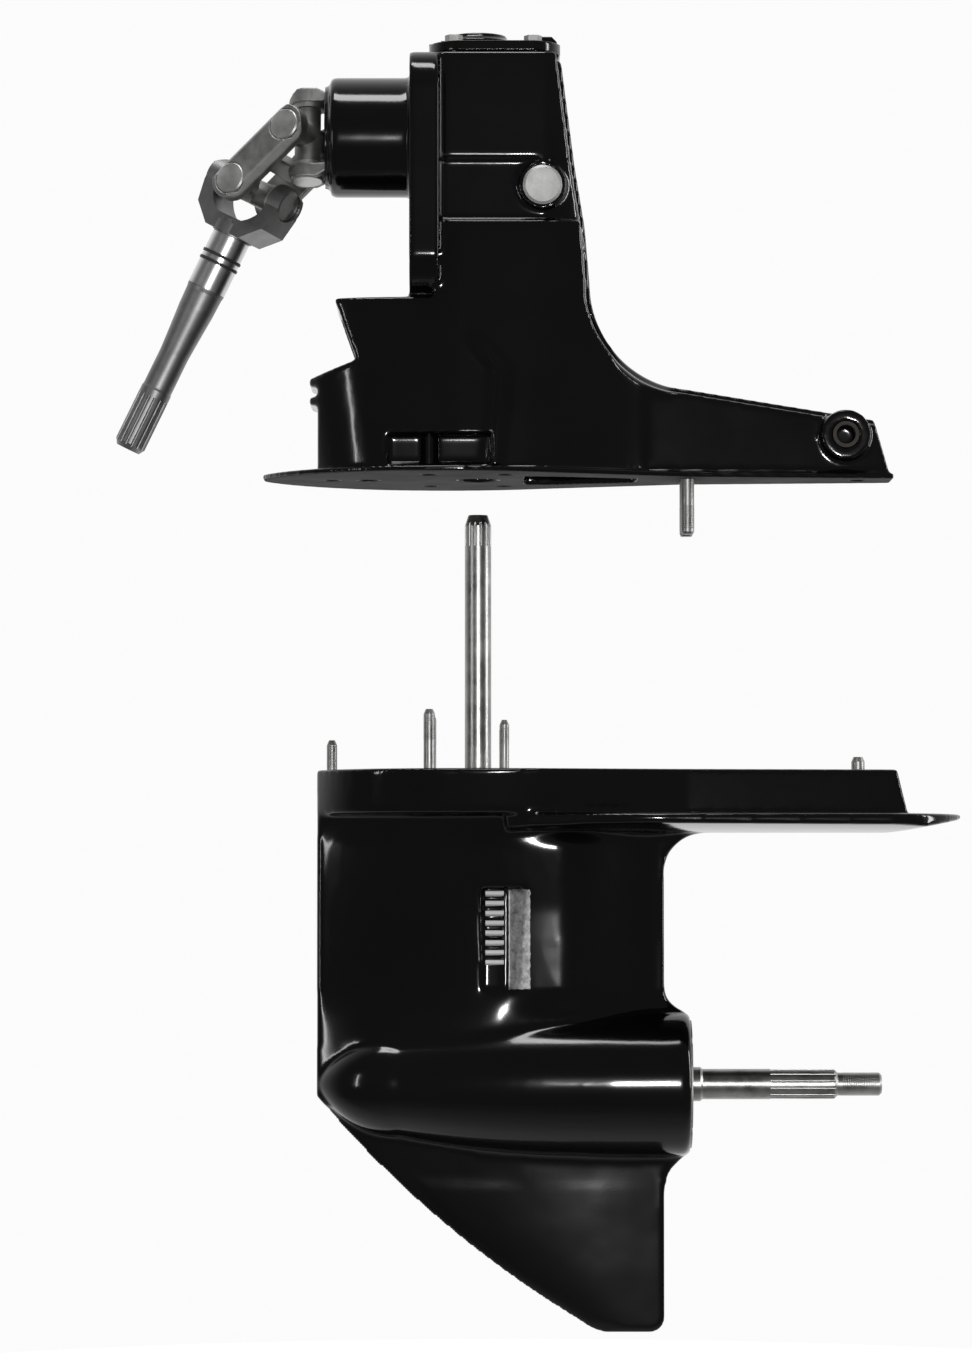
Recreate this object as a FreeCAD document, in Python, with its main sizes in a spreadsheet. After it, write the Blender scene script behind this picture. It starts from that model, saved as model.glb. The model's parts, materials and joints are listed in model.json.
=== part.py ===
import FreeCAD, Part
import math
import os

import Sketcher

# Stern drive, shown apart: the driveshaft housing above, the gear housing below.
# +X runs aft, +Y to starboard and +Z up.  The origin is where the input shaft's
# centreline crosses the mating face of the front flange.

DIMENSIONS = {
    # front flange, snout and input line
    "flange_thick": 25, "flange_top": 64.7, "flange_bottom": -142, "flange_half": 80,
    "snout_radius": 50.4, "snout_length": 67, "lip_radius": 43.3, "lip_length": 5,
    "mouth_radius": 40, "mouth_floor": -30, "flare_radius": 41.6, "flare_floor": -56,
    "bolt_hole_radius": 6, "bolt_half": 69.5, "bolt_high": 38, "bolt_mid": -35, "bolt_foot": -108,
    # gear case above the band, and the band itself
    "upright_x": 57.1, "case_front": 16, "case_top": 64.7, "case_half": 60,
    "band_top": -25, "band_bottom": -77, "band_half": 56, "chamber_radius": 38,
    "plug_x": 110.9, "plug_z": -47.5, "plug_radius": 16.4,
    # exhaust body, ledge and tail
    "shoulder_half": 64, "base_half": 76, "base_z": -290, "plate_z": -285.5, "plate_half": 110,
    "inlet_x": -63, "inlet_top": -141, "neck_x": -44, "neck_z": -193, "ledge_x": -84, "ledge_z": -207,
    "front_x": -77, "tail_x": 403, "tail_top_x": 390, "tail_top_z": -239.4, "sweep_radius": 90,
    "pin_x": 364.6, "pin_z": -253.7, "pin_bore": 8, "pin_seat": 11, "pin_boss": 21, "pin_boss_half": 36,
    "pin_web_half": 6, "pin_sleeve_length": 20, "spine_half": 9, "spine_proud": 5,
    "tab_depth": 7, "tab_gap": 8, "pocket_low": -281, "pocket_high": -256, "pocket_half": 64,
    # top cover
    "cover_low": 65.7, "cover_high": 74, "dome_top": 85.7, "dome_radius": 29,
    # universal joint
    "cross_x": -86.5, "joint_span": 65.2, "cup_radius": 13.5, "cup_face": 39.5, "cup_inner": 24,
    "trunnion_radius": 7.8, "cup_bore": 8.2, "eye_radius": 16, "ear_inner": 27.5, "yoke_reach": 36,
    "hub_end": -30, "plate_edge": 17.5, "plate_bevel": 6,
    # input shaft, measured out from its cross
    "shaft_reach": 28, "shaft_base": 42, "shaft_tip": 243, "land_radius": 16.5, "land_end": 93,
    "ring_one": 60.5, "ring_two": 67, "ring_wide": 3, "stem_x": 154, "stem_radius": 12.7,
    "flutes_x": 188, "flutes_radius": 13.3,
    # bevel gears
    "upper_module": 3.0, "upper_drive_teeth": 20, "upper_driven_teeth": 22, "upper_face": 15,
    "lower_module": 3.3, "lower_pinion_teeth": 14, "lower_gear_teeth": 21, "lower_face": 10,
    # upper driveshaft
    "sleeve_radius": 17, "sleeve_bore": 11.9, "sleeve_foot": -115,
    # gear housing
    "deck_z": -533.4, "deck_foot": -571, "leading_x": -78, "trailing_x": 213,
    "prop_z": -796.3, "torpedo_radius": 60.3, "torpedo_end": 236, "skeg_foot": -1003,
    "vent_plate_x": 459.5, "vent_plate_half": 100,
    "exhaust_bore": 54.5, "gear_bore": 40.5, "exhaust_start": 108,
    # lower shafts
    "side_stud_y": 61, "driveshaft_radius": 11.1, "driveshaft_top": -319.2, "prop_shaft_radius": 12.7,
    "prop_journal_radius": 13, "prop_collar_x": 236.5, "prop_seat_x": 245, "prop_spline_radius": 12.4,
    "prop_shaft_end": 394.8, "prop_thread_x": 358, "prop_spline_x": 301.6, "prop_thread_radius": 9.6,
    "shift_x": -35, "crank_throw": 9, "drain_x": 29, "drain_z": -804.3,
}

document = FreeCAD.newDocument("stern_drive")
sheet = document.addObject("Spreadsheet::Sheet", "dims")
for row, (alias, number) in enumerate(DIMENSIONS.items(), start=1):
    sheet.set(f"A{row}", alias)
    sheet.set(f"B{row}", str(number))
    sheet.setAlias(f"B{row}", alias)
document.recompute()


class Size:
    """A length that keeps the sheet formula it came from, so sums stay parametric."""

    def __init__(self, value, formula):
        self.value = float(value)
        self.formula = formula

    def __add__(self, other):
        other = as_size(other)
        return Size(self.value + other.value, f"({self.formula} + {other.formula})")

    def __sub__(self, other):
        other = as_size(other)
        return Size(self.value - other.value, f"({self.formula} - {other.formula})")

    def __mul__(self, other):
        other = as_size(other)
        return Size(self.value * other.value, f"({self.formula} * {other.formula})")

    def __truediv__(self, other):
        other = as_size(other)
        return Size(self.value / other.value, f"({self.formula} / {other.formula})")

    def __radd__(self, other):
        return as_size(other) + self

    def __rsub__(self, other):
        return as_size(other) - self

    def __rmul__(self, other):
        return as_size(other) * self

    def __neg__(self):
        return Size(-self.value, f"(0 - {self.formula})")


def as_size(number):
    """Wrap a plain number as a Size; a Size passes through."""
    if isinstance(number, Size):
        return number
    return Size(number, f"({float(number)!r})")


class Dims:
    """The sheet's cells by name, each as a Size."""

    def __getattr__(self, name):
        return Size(sheet.get(name), f"dims.{name}")


dims = Dims()
PARTS = {}


def bind(item, name, number):
    """Tie one property of a document object to the sheet."""
    item.setExpression(name, as_size(number).formula)


Z_TO = {
    "x": FreeCAD.Rotation(FreeCAD.Vector(0, 1, 0), 90),
    "y": FreeCAD.Rotation(FreeCAD.Vector(1, 0, 0), -90),
    "z": FreeCAD.Rotation(),
}
X_TO = {
    "x": FreeCAD.Rotation(),
    "y": FreeCAD.Rotation(FreeCAD.Vector(0, 0, 1), 90),
    "z": FreeCAD.Rotation(FreeCAD.Vector(0, 1, 0), -90),
}


def locate(item, rotation, corner):
    """Turn an object and tie its base point to the sheet."""
    item.Placement = FreeCAD.Placement(FreeCAD.Vector(*(as_size(n).value for n in corner)), rotation)
    for letter, number in zip("xyz", corner):
        if isinstance(number, Size):
            bind(item, f"Placement.Base.{letter}", number)


def corner_on(axis, start, centre):
    """The point at start along an axis whose line has the two other coordinates centre."""
    first, second = centre
    return {"x": (start, first, second), "y": (first, start, second), "z": (first, second, start)}[axis]


def cylinder(name, radius, start, end, centre=(0, 0), axis="z"):
    item = document.addObject("Part::Cylinder", name)
    bind(item, "Radius", radius)
    bind(item, "Height", as_size(end) - start)
    locate(item, Z_TO[axis], corner_on(axis, start, centre))
    return item


def box(name, xs, ys, zs):
    item = document.addObject("Part::Box", name)
    for letter, (low, high) in zip(("Length", "Width", "Height"), (xs, ys, zs)):
        bind(item, letter, as_size(high) - low)
    locate(item, FreeCAD.Rotation(), (xs[0], ys[0], zs[0]))
    return item


def fuse(name, *items):
    item = document.addObject("Part::MultiFuse", name)
    item.Shapes = list(items)
    return item


def common(name, *items):
    item = document.addObject("Part::MultiCommon", name)
    item.Shapes = list(items)
    return item


def cut(name, base, *tools):
    item = document.addObject("Part::Cut", name)
    item.Base = base
    item.Tool = tools[0] if len(tools) == 1 else fuse(name + "_tools", *tools)
    return item


def group(name, *items):
    """Separate solids that share one node."""
    item = document.addObject("Part::Compound", name)
    item.Links = list(items)
    return item


def draw(sketch, points, arcs=None):
    """Draw a closed outline.  arcs gives {edge: (radius, side)}, side +1 with its centre to the left."""
    arcs = arcs or {}
    points = [(as_size(x), as_size(y)) for x, y in points]
    starts = []
    ends = []
    for edge, (first, second) in enumerate(zip(points, points[1:] + points[:1])):
        p = FreeCAD.Vector(first[0].value, first[1].value, 0)
        q = FreeCAD.Vector(second[0].value, second[1].value, 0)
        if edge not in arcs:
            sketch.addGeometry(Part.LineSegment(p, q))
            starts.append(1)
            ends.append(2)
            continue
        radius, side = arcs[edge]
        radius = as_size(radius)
        chord = q - p
        left = FreeCAD.Vector(-chord.y, chord.x, 0).normalize()
        rise = math.sqrt(max(radius.value ** 2 - chord.Length ** 2 / 4, 0))
        centre = (p + q) * 0.5 + left * (side * rise)
        circle = Part.Circle(centre, FreeCAD.Vector(0, 0, 1), radius.value)
        first_end, last_end = (p, q) if side > 0 else (q, p)
        angles = [math.atan2(end.y - centre.y, end.x - centre.x) for end in (first_end, last_end)]
        sketch.addGeometry(Part.ArcOfCircle(circle, *angles))
        starts.append(1 if side > 0 else 2)
        ends.append(2 if side > 0 else 1)
    count = len(points)
    for edge in range(count):
        after = (edge + 1) % count
        sketch.addConstraint(Sketcher.Constraint("Coincident", edge, ends[edge], after, starts[after]))
    for edge, (x, y) in enumerate(points):
        for kind, number in (("DistanceX", x), ("DistanceY", y)):
            at = sketch.addConstraint(Sketcher.Constraint(kind, -1, 1, edge, starts[edge], number.value))
            sketch.setExpression(f"Constraints[{at}]", number.formula)
    for edge, (radius, _) in arcs.items():
        at = sketch.addConstraint(Sketcher.Constraint("Radius", edge, as_size(radius).value))
        sketch.setExpression(f"Constraints[{at}]", as_size(radius).formula)


def turned(name, points, centre=(0, 0), axis="x", arcs=None):
    """A body spun from a half profile of (along, radius) points about one axis."""
    body = document.addObject("PartDesign::Body", name)
    sketch = body.newObject("Sketcher::SketchObject", name + "_profile")
    plane = next(item for item in body.Origin.OriginFeatures if item.Role == "XZ_Plane")
    sketch.AttachmentSupport = [(plane, "")]
    sketch.MapMode = "FlatFace"
    draw(sketch, points, arcs)
    spin = body.newObject("PartDesign::Revolution", name + "_spin")
    spin.Profile = sketch
    spin.ReferenceAxis = (sketch, ["H_Axis"])
    spin.Angle = 360
    locate(body, X_TO[axis], corner_on(axis, 0, centre))
    return body


def ring(name, inner, outer, start, end, centre=(0, 0), axis="x"):
    points = [(start, inner), (end, inner), (end, outer), (start, outer)]
    return turned(name, points, centre, axis)


def prism(name, plane, points, low, high, arcs=None):
    """A sketch on the xy, xz or yz plane, pushed out from low to high along the third axis."""
    sketch = document.addObject("Sketcher::SketchObject", name + "_outline")
    turns = {
        "xy": FreeCAD.Rotation(),
        "xz": FreeCAD.Rotation(FreeCAD.Vector(1, 0, 0), 90),
        "yz": FreeCAD.Rotation(FreeCAD.Vector(1, 1, 1), 120),
    }
    sketch.Placement = FreeCAD.Placement(FreeCAD.Vector(), turns[plane])
    draw(sketch, points, arcs)
    item = document.addObject("Part::Extrusion", name)
    item.Base = sketch
    item.DirMode = "Custom"
    item.Dir = {"xy": (0, 0, 1), "xz": (0, 1, 0), "yz": (1, 0, 0)}[plane]
    item.Solid = True
    bind(item, "LengthFwd", high)
    bind(item, "LengthRev", -as_size(low))
    return item


def loft(name, sections):
    """A ruled loft through flat outlines: (height, points, arcs) from the bottom up."""
    sketches = []
    for number, (height, points, arcs) in enumerate(sections):
        sketch = document.addObject("Sketcher::SketchObject", f"{name}_section{number}")
        draw(sketch, points, arcs)
        locate(sketch, FreeCAD.Rotation(), (0, 0, as_size(height)))
        sketches.append(sketch)
    item = document.addObject("Part::Loft", name)
    item.Sections = sketches
    item.Solid = True
    item.Ruled = True
    return item


def chain(*steps):
    """Compose placements, first step outermost."""
    whole = FreeCAD.Placement()
    for step in steps:
        whole = whole.multiply(step)
    return whole


def turn(axis, degrees):
    return FreeCAD.Placement(FreeCAD.Vector(), FreeCAD.Rotation(FreeCAD.Vector(*axis), degrees))


def shift(x, y, z):
    corner = FreeCAD.Vector(*(as_size(number).value for number in (x, y, z)))
    return FreeCAD.Placement(corner, FreeCAD.Rotation())


def keep(node, item):
    """Name a finished sub-part; its label names its file."""
    item.Label = node
    PARTS[node] = item
    return item


def both_sides(half_outline, half_arcs=None):
    """Mirror an outline of (x, y) points, given along its port side from front to back."""
    half_arcs = half_arcs or {}
    count = len(half_outline)
    port = [(x, -as_size(y)) for x, y in half_outline]
    starboard = list(reversed(half_outline))
    arcs = {edge: value for edge, value in half_arcs.items()}
    for edge, value in half_arcs.items():
        arcs[2 * count - 2 - edge] = value
    return port + starboard, arcs


# ---------------------------------------------------------------- driveshaft housing

def tail_outline(inset):
    """Side view of the housing's rear edge, from the top down to the tail's foot."""
    return [
        (127 - inset, dims.case_top), (138.5 - inset, dims.band_top), (147 - inset, dims.band_bottom),
        (151 - inset, -124), (232 - inset, -213.5 - inset), (dims.tail_top_x, dims.tail_top_z - inset),
        (dims.tail_x, dims.base_z),
    ]


def driveshaft_housing():
    """The upper casting: flange, snout, gear case, band, exhaust body, tail and splash plate."""
    flange = prism("flange", "yz", [
        (-46, dims.flange_bottom), (46, dims.flange_bottom), (dims.flange_half, -108),
        (dims.flange_half, 34), (dims.flange_half - 26, dims.flange_top),
        (26 - dims.flange_half, dims.flange_top), (-dims.flange_half, 34), (-dims.flange_half, -108),
    ], 0, dims.flange_thick, {1: (48, 1), 3: (34, 1), 5: (34, 1), 7: (48, 1)})
    snout = turned("snout", [
        (-dims.snout_length - dims.lip_length, 0), (-dims.snout_length - dims.lip_length, dims.lip_radius),
        (-dims.snout_length, dims.lip_radius), (-dims.snout_length, dims.snout_radius - 2),
        (3 - dims.snout_length, dims.snout_radius), (dims.flange_thick, dims.snout_radius),
        (dims.flange_thick, 0)])
    band_foot = dims.band_bottom - 20
    rear_edge = tail_outline(dims.spine_proud)
    side = prism("case_side", "xz", [
        (dims.case_front, band_foot), (dims.case_front, dims.case_top), *rear_edge[:3], (147, band_foot)],
        -90, 90)
    half = [(dims.case_front, dims.case_half - 6), (30, dims.case_half), (112, dims.case_half),
            (150, dims.case_half - 26)]
    points, arcs = both_sides(half, {2: (52, 1)})
    case_plan = prism("case_plan", "xy", points, dims.band_top, dims.case_top, arcs)
    half = [(dims.case_front, dims.band_half - 4), (30, dims.band_half), (112, dims.band_half),
            (150, dims.band_half - 24)]
    points, arcs = both_sides(half, {2: (50, 1)})
    band_plan = prism("band_plan", "xy", points, band_foot, dims.band_top, arcs)
    case = common("case", side, fuse("case_plans", case_plan, band_plan))

    # the front carries two short tabs with a gap between them
    tab_foot = dims.ledge_z - dims.tab_depth
    body_side = prism("body_side", "xz", [
        (20, dims.inlet_top), (dims.inlet_x, dims.inlet_top), (dims.neck_x, dims.neck_z),
        (dims.ledge_x, dims.ledge_z), (dims.ledge_x, tab_foot), (dims.front_x, tab_foot),
        (dims.front_x, tab_foot - dims.tab_gap), (dims.ledge_x, tab_foot - dims.tab_gap),
        (dims.ledge_x, tab_foot - dims.tab_gap - dims.tab_depth),
        (dims.front_x, tab_foot - dims.tab_gap - dims.tab_depth), (dims.front_x, dims.base_z),
        *reversed(rear_edge[2:]), (20, dims.band_bottom)], -120, 120, {13: (dims.sweep_radius, -1)})
    sections = []
    for height, shoulder, front, rear in (
            (dims.base_z, dims.base_half, 34, 27),
            (-139, dims.shoulder_half + 3, 46, 26),
            (dims.band_bottom + 1, dims.shoulder_half, 46, 25)):
        half = [(-86, front - 12), (-30, shoulder - 8), (40, shoulder), (96, shoulder),
                (196, rear + 9), (410, rear - 4)]
        points, arcs = both_sides(half, {0: (110, 1), 3: (190, 1)})
        sections.append((height, points, arcs))
    body = common("exhaust_body", body_side, loft("body_plan", sections))

    spine = prism("spine", "xz", [(60, dims.base_z), (60, dims.case_top), *tail_outline(0)],
                  -dims.spine_half, dims.spine_half, {5: (dims.sweep_radius, 1)})
    half = [(-124, 12), (-60, 86), (20, dims.plate_half), (110, 92), (230, 44), (dims.tail_x + 2, 26)]
    points, arcs = both_sides(half, {0: (150, 1), 1: (140, 1), 2: (170, 1)})
    plate = prism("splash_plate", "xy", points, dims.base_z, dims.plate_z, arcs)
    pin_boss = cylinder("pin_boss", dims.pin_boss, -dims.pin_boss_half, dims.pin_boss_half,
                        (dims.pin_x, dims.pin_z), "y")
    plug_boss = cylinder("plug_boss", dims.plug_radius + 3.5, -dims.case_half, -30,
                         (dims.plug_x, dims.plug_z), "y")
    solid = fuse("housing_solid", flange, snout, case, body, spine, plate, pin_boss, plug_boss)

    shaft = (dims.upright_x, 0)
    hollows = [
        cylinder("snout_mouth", dims.mouth_radius, -76, dims.mouth_floor, (0, 0), "x"),
        cylinder("mouth_flare", dims.flare_radius, -76, dims.flare_floor, (0, 0), "x"),
        cylinder("input_bore", 36, dims.mouth_floor - 1, 9, (0, 0), "x"),
        cylinder("pinion_room_bore", 37, 8.4, 50, (0, 0), "x"),
        cylinder("gear_chamber", dims.chamber_radius, dims.band_top - 22, dims.case_top + 1, shaft),
        cylinder("foot_bore", 30, -104, dims.band_top - 20, shaft),
        cylinder("seal_bore", 26, -119, -103, shaft),
        cylinder("shaft_way", 17.6, dims.base_z - 1, -118, shaft),
        cylinder("plug_seat", dims.plug_radius, -dims.case_half - 1, 4.5 - dims.case_half,
                 (dims.plug_x, dims.plug_z), "y"),
        cylinder("pin_bore_port", dims.pin_seat, -60, -dims.pin_web_half, (dims.pin_x, dims.pin_z), "y"),
        cylinder("pin_bore_starboard", dims.pin_seat, dims.pin_web_half, 60, (dims.pin_x, dims.pin_z), "y"),
    ]
    # exhaust passage: in at the slanted mouth, round the shaft tube, out through the underside
    passage = prism("passage_side", "xz", [
        (-70, -150), (150, -150), (172, -210), (190, -230), (190, dims.base_z - 1), (96, dims.base_z - 1),
        (96, -276), (-20, -276), (-34, -188), (-52, -188)], -47, 47)
    passage_plan = prism("passage_plan", "xy", [
        (-90, -47), (70, -47), (120, -42), (192, -19), (192, 19), (120, 42), (70, 47), (-90, 47)],
        -300, -140)
    tube = cylinder("shaft_tube", 24, -292, -140, shaft)
    hollows.append(cut("exhaust_passage", common("passage_block", passage, passage_plan), tube))
    for side_sign in (-1, 1):
        for height in (dims.bolt_high, dims.bolt_mid, dims.bolt_foot):
            hollows.append(cylinder("flange_hole", dims.bolt_hole_radius, -1, dims.flange_thick + 1,
                                    (side_sign * dims.bolt_half, height), "x"))
        # pockets low on each side give room for the nuts of the side studs
        low, high = (dims.pocket_half, 90) if side_sign > 0 else (-90, -dims.pocket_half)
        hollows.append(box("nut_pocket", (-18, 68), (low, high), (dims.pocket_low, dims.pocket_high)))
        for stud_x, depth in ((16.8, 52), (79, 43)):
            hollows.append(cylinder("side_stud_hole", 6.2, dims.base_z - 1, dims.base_z + depth,
                                    (stud_x, side_sign * dims.side_stud_y)))
    for spot in COVER_BOLTS:
        hollows.append(cylinder("cover_thread", 4.4, dims.case_top - 16, dims.case_top + 1, spot))
    hollows.append(cylinder("front_stud_hole", 6, dims.base_z - 1, dims.base_z + 30, (-65.5, 0)))
    hollows.append(cylinder("shift_way", 9, dims.base_z - 1, -262, (dims.shift_x, 0)))
    hollows.append(cylinder("rear_stud_hole", 6.5, dims.base_z - 1, dims.base_z + 16, (376, 0)))
    return keep("driveshaft_housing", cut("housing", solid, *hollows))


def top_cover():
    """The cast lid with its bearing dome and the raised rear pad."""
    half = [(dims.case_front, 24), (40, dims.case_half - 3), (104, dims.case_half - 3), (126, 30)]
    points, arcs = both_sides(half, {0: (34, 1), 2: (34, 1)})
    low = dims.cover_low
    high = dims.cover_high
    top = dims.dome_top
    radius = dims.dome_radius
    shaft = (dims.upright_x, 0)
    slab = prism("cover_slab", "xy", points, low, high, arcs)
    spigot = cylinder("cover_spigot", dims.chamber_radius - 0.3, 47, low + 1, shaft)
    dome = turned("cover_dome", [
        (high - 6, 0), (high - 6, radius + 5), (high + 5, radius), (top - 5, radius), (top, radius - 5),
        (top, 0)], shaft, "z", {3: (5, 1)})
    pad = prism("cover_pad", "xz", [
        (97, 70), (124.5, 70), (123.5, 79), (119, 83.5), (100, 83.5), (97, 80)], -17, 17)
    lug = prism("cover_lug", "xz", [
        (16, low), (36, low), (36, 81), (26, 81), (22, 71), (19.5, 71), (19.5, 78.5), (16, 78.5)], -9, 9)
    bearing_seat = cylinder("cover_seat", 33, 46, 63.2, shaft)
    dome_room = cylinder("dome_room", 20, 60, top - 6, shaft)
    holes = [cylinder("cover_hole", 4.6, 40, 90, spot) for spot in COVER_BOLTS]
    solid = fuse("cover_solid", slab, spigot, dome, pad, lug)
    return keep("top_cover", cut("cover", solid, bearing_seat, dome_room, *holes))


COVER_BOLTS = [(37, -46), (37, 46), (103, -44), (103, 44)]


def hexagon(spot, corner):
    """The six corners of a nut or bolt head round a spot."""
    x, y = as_size(spot[0]), as_size(spot[1])
    angles = [math.radians(60 * number) for number in range(6)]
    return [(x + corner * math.cos(angle), y + corner * math.sin(angle)) for angle in angles]


def hex_bolt(name, spot, under_head, length, shank, flats):
    """A hex bolt standing head up at (x, y)."""
    points = hexagon(spot, flats / math.sqrt(3))
    head = prism(name + "_head", "xy", points, under_head, as_size(under_head) + shank * 1.3)
    stem = cylinder(name + "_stem", shank, as_size(under_head) - length, as_size(under_head) + 1, spot)
    return fuse(name, head, stem)


def upper_trim():
    """Loose pieces that stay with the upper casting."""
    bolts = [hex_bolt("cover_bolt", spot, dims.cover_high, 21, 4.2, 13) for spot in COVER_BOLTS]
    keep("top_cover_bolts", group("cover_bolts", *bolts))
    shaft = (dims.upright_x, 0)
    keep("top_cover_seal", ring("cover_seal", dims.chamber_radius, dims.chamber_radius + 2.5,
                                dims.case_top, dims.cover_low, shaft, "z"))
    keep("side_plug", turned("plug", [
        (-dims.case_half - 1.6, 0), (-dims.case_half - 1.6, dims.plug_radius - 2.2),
        (-dims.case_half - 0.4, dims.plug_radius), (4.5 - dims.case_half, dims.plug_radius),
        (4.5 - dims.case_half, 0)], (dims.plug_x, dims.plug_z), "y"))
    mouth = dims.mouth_radius
    keep("bearing_retainer", turned("retainer", [
        (-40.5, 27.5), (-30, 27.5), (-30, mouth), (-38.5, mouth), (-40.5, mouth - 3)]))
    keep("input_seal", ring("in_seal", 22.4, 27.5, -40, -31))
    front = turned("front_cup", [(-29, 27.2), (-14, 24), (-14, 36), (-29, 36)])
    rear = turned("rear_cup", [(-8, 27), (8, 30.5), (8, 36), (-8, 36)])
    keep("input_bearing_cups", group("input_cups", front, rear))
    high = turned("high_cup", [(47, 28.5), (62.5, 25), (62.5, 33), (47, 33)], shaft, "z")
    low = turned("low_cup", [(-103, 24), (-86, 27), (-86, 30), (-103, 30)], shaft, "z")
    keep("driveshaft_bearing_cups", group("upright_cups", high, low))
    keep("upper_shaft_seal", ring("foot_seal", 17.4, 26, -118, -107, shaft, "z"))
    sleeves = []
    inner_end = dims.pin_boss_half - dims.pin_sleeve_length
    for low_y, high_y in ((-dims.pin_boss_half, -inner_end), (inner_end, dims.pin_boss_half)):
        sleeves.append(ring("pin_sleeve", dims.pin_bore, dims.pin_seat, low_y, high_y,
                            (dims.pin_x, dims.pin_z), "y"))
    keep("trim_pin_bushings", group("pin_sleeves", *sleeves))
    studs = []
    for y in (-15, 15):
        studs.append(turned("drop_stud", [(-336, 0), (-336, 4.6), (-334, 5.6), (-290, 5.6), (-290, 0)],
                            (232.7, y), "z"))
    keep("lower_studs", group("drop_studs", *studs))


# ---------------------------------------------------------------- bevel gears

def bevel_gear(name, module, teeth, mate_teeth, face, bore, back, hub_radius, hub_length, tooth_up):
    """A straight bevel gear whose cone apex is at the origin and whose axis is local -X.

    tooth_up puts a tooth, otherwise a gap, on local +Z.
    """
    pitch = module * teeth / 2
    depth = module * mate_teeth / 2
    distance = math.hypot(pitch.value, depth.value)
    slope = math.atan2(pitch.value, depth.value)
    scale = 1 - face.value / distance
    add = math.tan(slope + math.atan(0.8 * module.value / distance)) / math.tan(slope)
    ded = math.tan(slope - math.atan(1.05 * module.value / distance)) / math.tan(slope)
    tip = pitch * add
    root = pitch * ded
    rear = -depth - back
    body = turned(name, [
        (-depth * scale, bore), (-depth * scale, root * scale), (-depth, root), (rear, root - 2),
        (rear, hub_radius), (rear - hub_length, hub_radius), (rear - hub_length, bore)])
    half = math.pi * module.value * 0.40 / 2
    lean = math.tan(math.radians(20)) * math.cos(slope)
    plane = next(item for item in body.Origin.OriginFeatures if item.Role == "YZ_Plane")
    sections = []
    for share in (1, scale):
        section = body.newObject("Sketcher::SketchObject", f"{name}_tooth{len(sections)}")
        section.AttachmentSupport = [(plane, "")]
        section.MapMode = "FlatFace"
        bind(section, "AttachmentOffset.Base.z", -depth * share)
        low_half = (half + (pitch.value - root.value + 1.0) * lean) * share
        top_half = (half - (tip.value - pitch.value) * lean) * share
        floor = (root - 1.0) * share
        top = tip * share
        draw(section, [(-low_half, floor), (low_half, floor), (top_half, top), (-top_half, top)])
        sections.append(section)
    tooth = body.newObject("PartDesign::AdditiveLoft", name + "_tooth")
    tooth.Profile = sections[0]
    tooth.Sections = [sections[1]]
    tooth.Ruled = True
    pattern = body.newObject("PartDesign::PolarPattern", name + "_teeth")
    pattern.Originals = [tooth]
    pattern.Axis = (next(item for item in body.Origin.OriginFeatures if item.Role == "X_Axis"), [""])
    pattern.Angle = 360
    bind(pattern, "Occurrences", teeth)
    body.Tip = pattern
    body.Placement = turn((1, 0, 0), 0 if tooth_up else 180 / teeth.value)
    return body


def aim(item, apex, rotation):
    """Carry a finished local piece to its place in the drive."""
    place = FreeCAD.Placement(FreeCAD.Vector(*(as_size(n).value for n in apex)), rotation)
    item.Placement = place.multiply(item.Placement)
    for letter, number in zip("xyz", apex):
        if isinstance(number, Size):
            bind(item, f"Placement.Base.{letter}", number)
    return item


TURN_Y = FreeCAD.Vector(0, 1, 0)


def upper_gears():
    drive = bevel_gear("drive_bevel", dims.upper_module, dims.upper_drive_teeth, dims.upper_driven_teeth,
                       dims.upper_face, 16.8, 9.5, 20, 6, True)
    keep("drive_pinion", aim(drive, (dims.upright_x, 0, 0), FreeCAD.Rotation()))
    # local -X turned up to +Z, with local +Z turned to +X: the mesh is on the far side, local -Z
    driven = bevel_gear("driven_bevel", dims.upper_module, dims.upper_driven_teeth, dims.upper_drive_teeth,
                        dims.upper_face, 17.2, 6.5, 24, 7, False)
    keep("driven_gear", aim(driven, (dims.upright_x, 0, 0), FreeCAD.Rotation(TURN_Y, 90)))


def input_line():
    """Pinion shaft, bearings' inner halves, yoke nut: all turn with the input yoke."""
    face = dims.cross_x + dims.yoke_reach
    keep("pinion_shaft", turned("in_shaft", [
        (face - 5.5, 0), (face - 5.5, 9.5), (face, 9.5), (face, 11.8), (dims.hub_end + 1, 11.8),
        (dims.hub_end + 1, 16.8), (30, 16.8), (31, 14), (31, 0)]))
    front = turned("front_cone", [(-28.5, 16.8), (-14.5, 16.8), (-14.5, 23.4), (-28.5, 26.6)])
    rear = turned("rear_cone", [(-7.5, 16.8), (7.5, 16.8), (7.5, 29.9), (-7.5, 26.5)])
    keep("input_bearing_cones", group("input_cones", front, rear))
    nut = cut("yoke_nut_solid", prism("yoke_nut_hex", "yz", hexagon((0, 0), 13), face - 7, face),
              cylinder("yoke_nut_hole", 9.5, face - 8, face + 1, (0, 0), "x"))
    keep("yoke_nut", nut)


def upright_line():
    """Upper driveshaft sleeve with the inner halves of its bearings."""
    shaft = (dims.upright_x, 0)
    foot = dims.sleeve_foot
    bore = dims.sleeve_bore
    radius = dims.sleeve_radius
    keep("upper_driveshaft", turned("sleeve", [
        (48.5, 0), (48.5, 10), (foot + 42, 10), (foot + 42, bore), (foot, bore), (foot, radius),
        (57, radius), (57, 0)], shaft, "z"))
    high = turned("high_cone", [(47.5, 17), (62, 17), (62, 24.4), (47.5, 27.9)], shaft, "z")
    low = turned("low_cone", [(-102.5, 17), (-86.5, 17), (-86.5, 26.4), (-102.5, 23.4)], shaft, "z")
    keep("upper_driveshaft_cones", group("upright_cones", high, low))


# ---------------------------------------------------------------- universal joint

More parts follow.
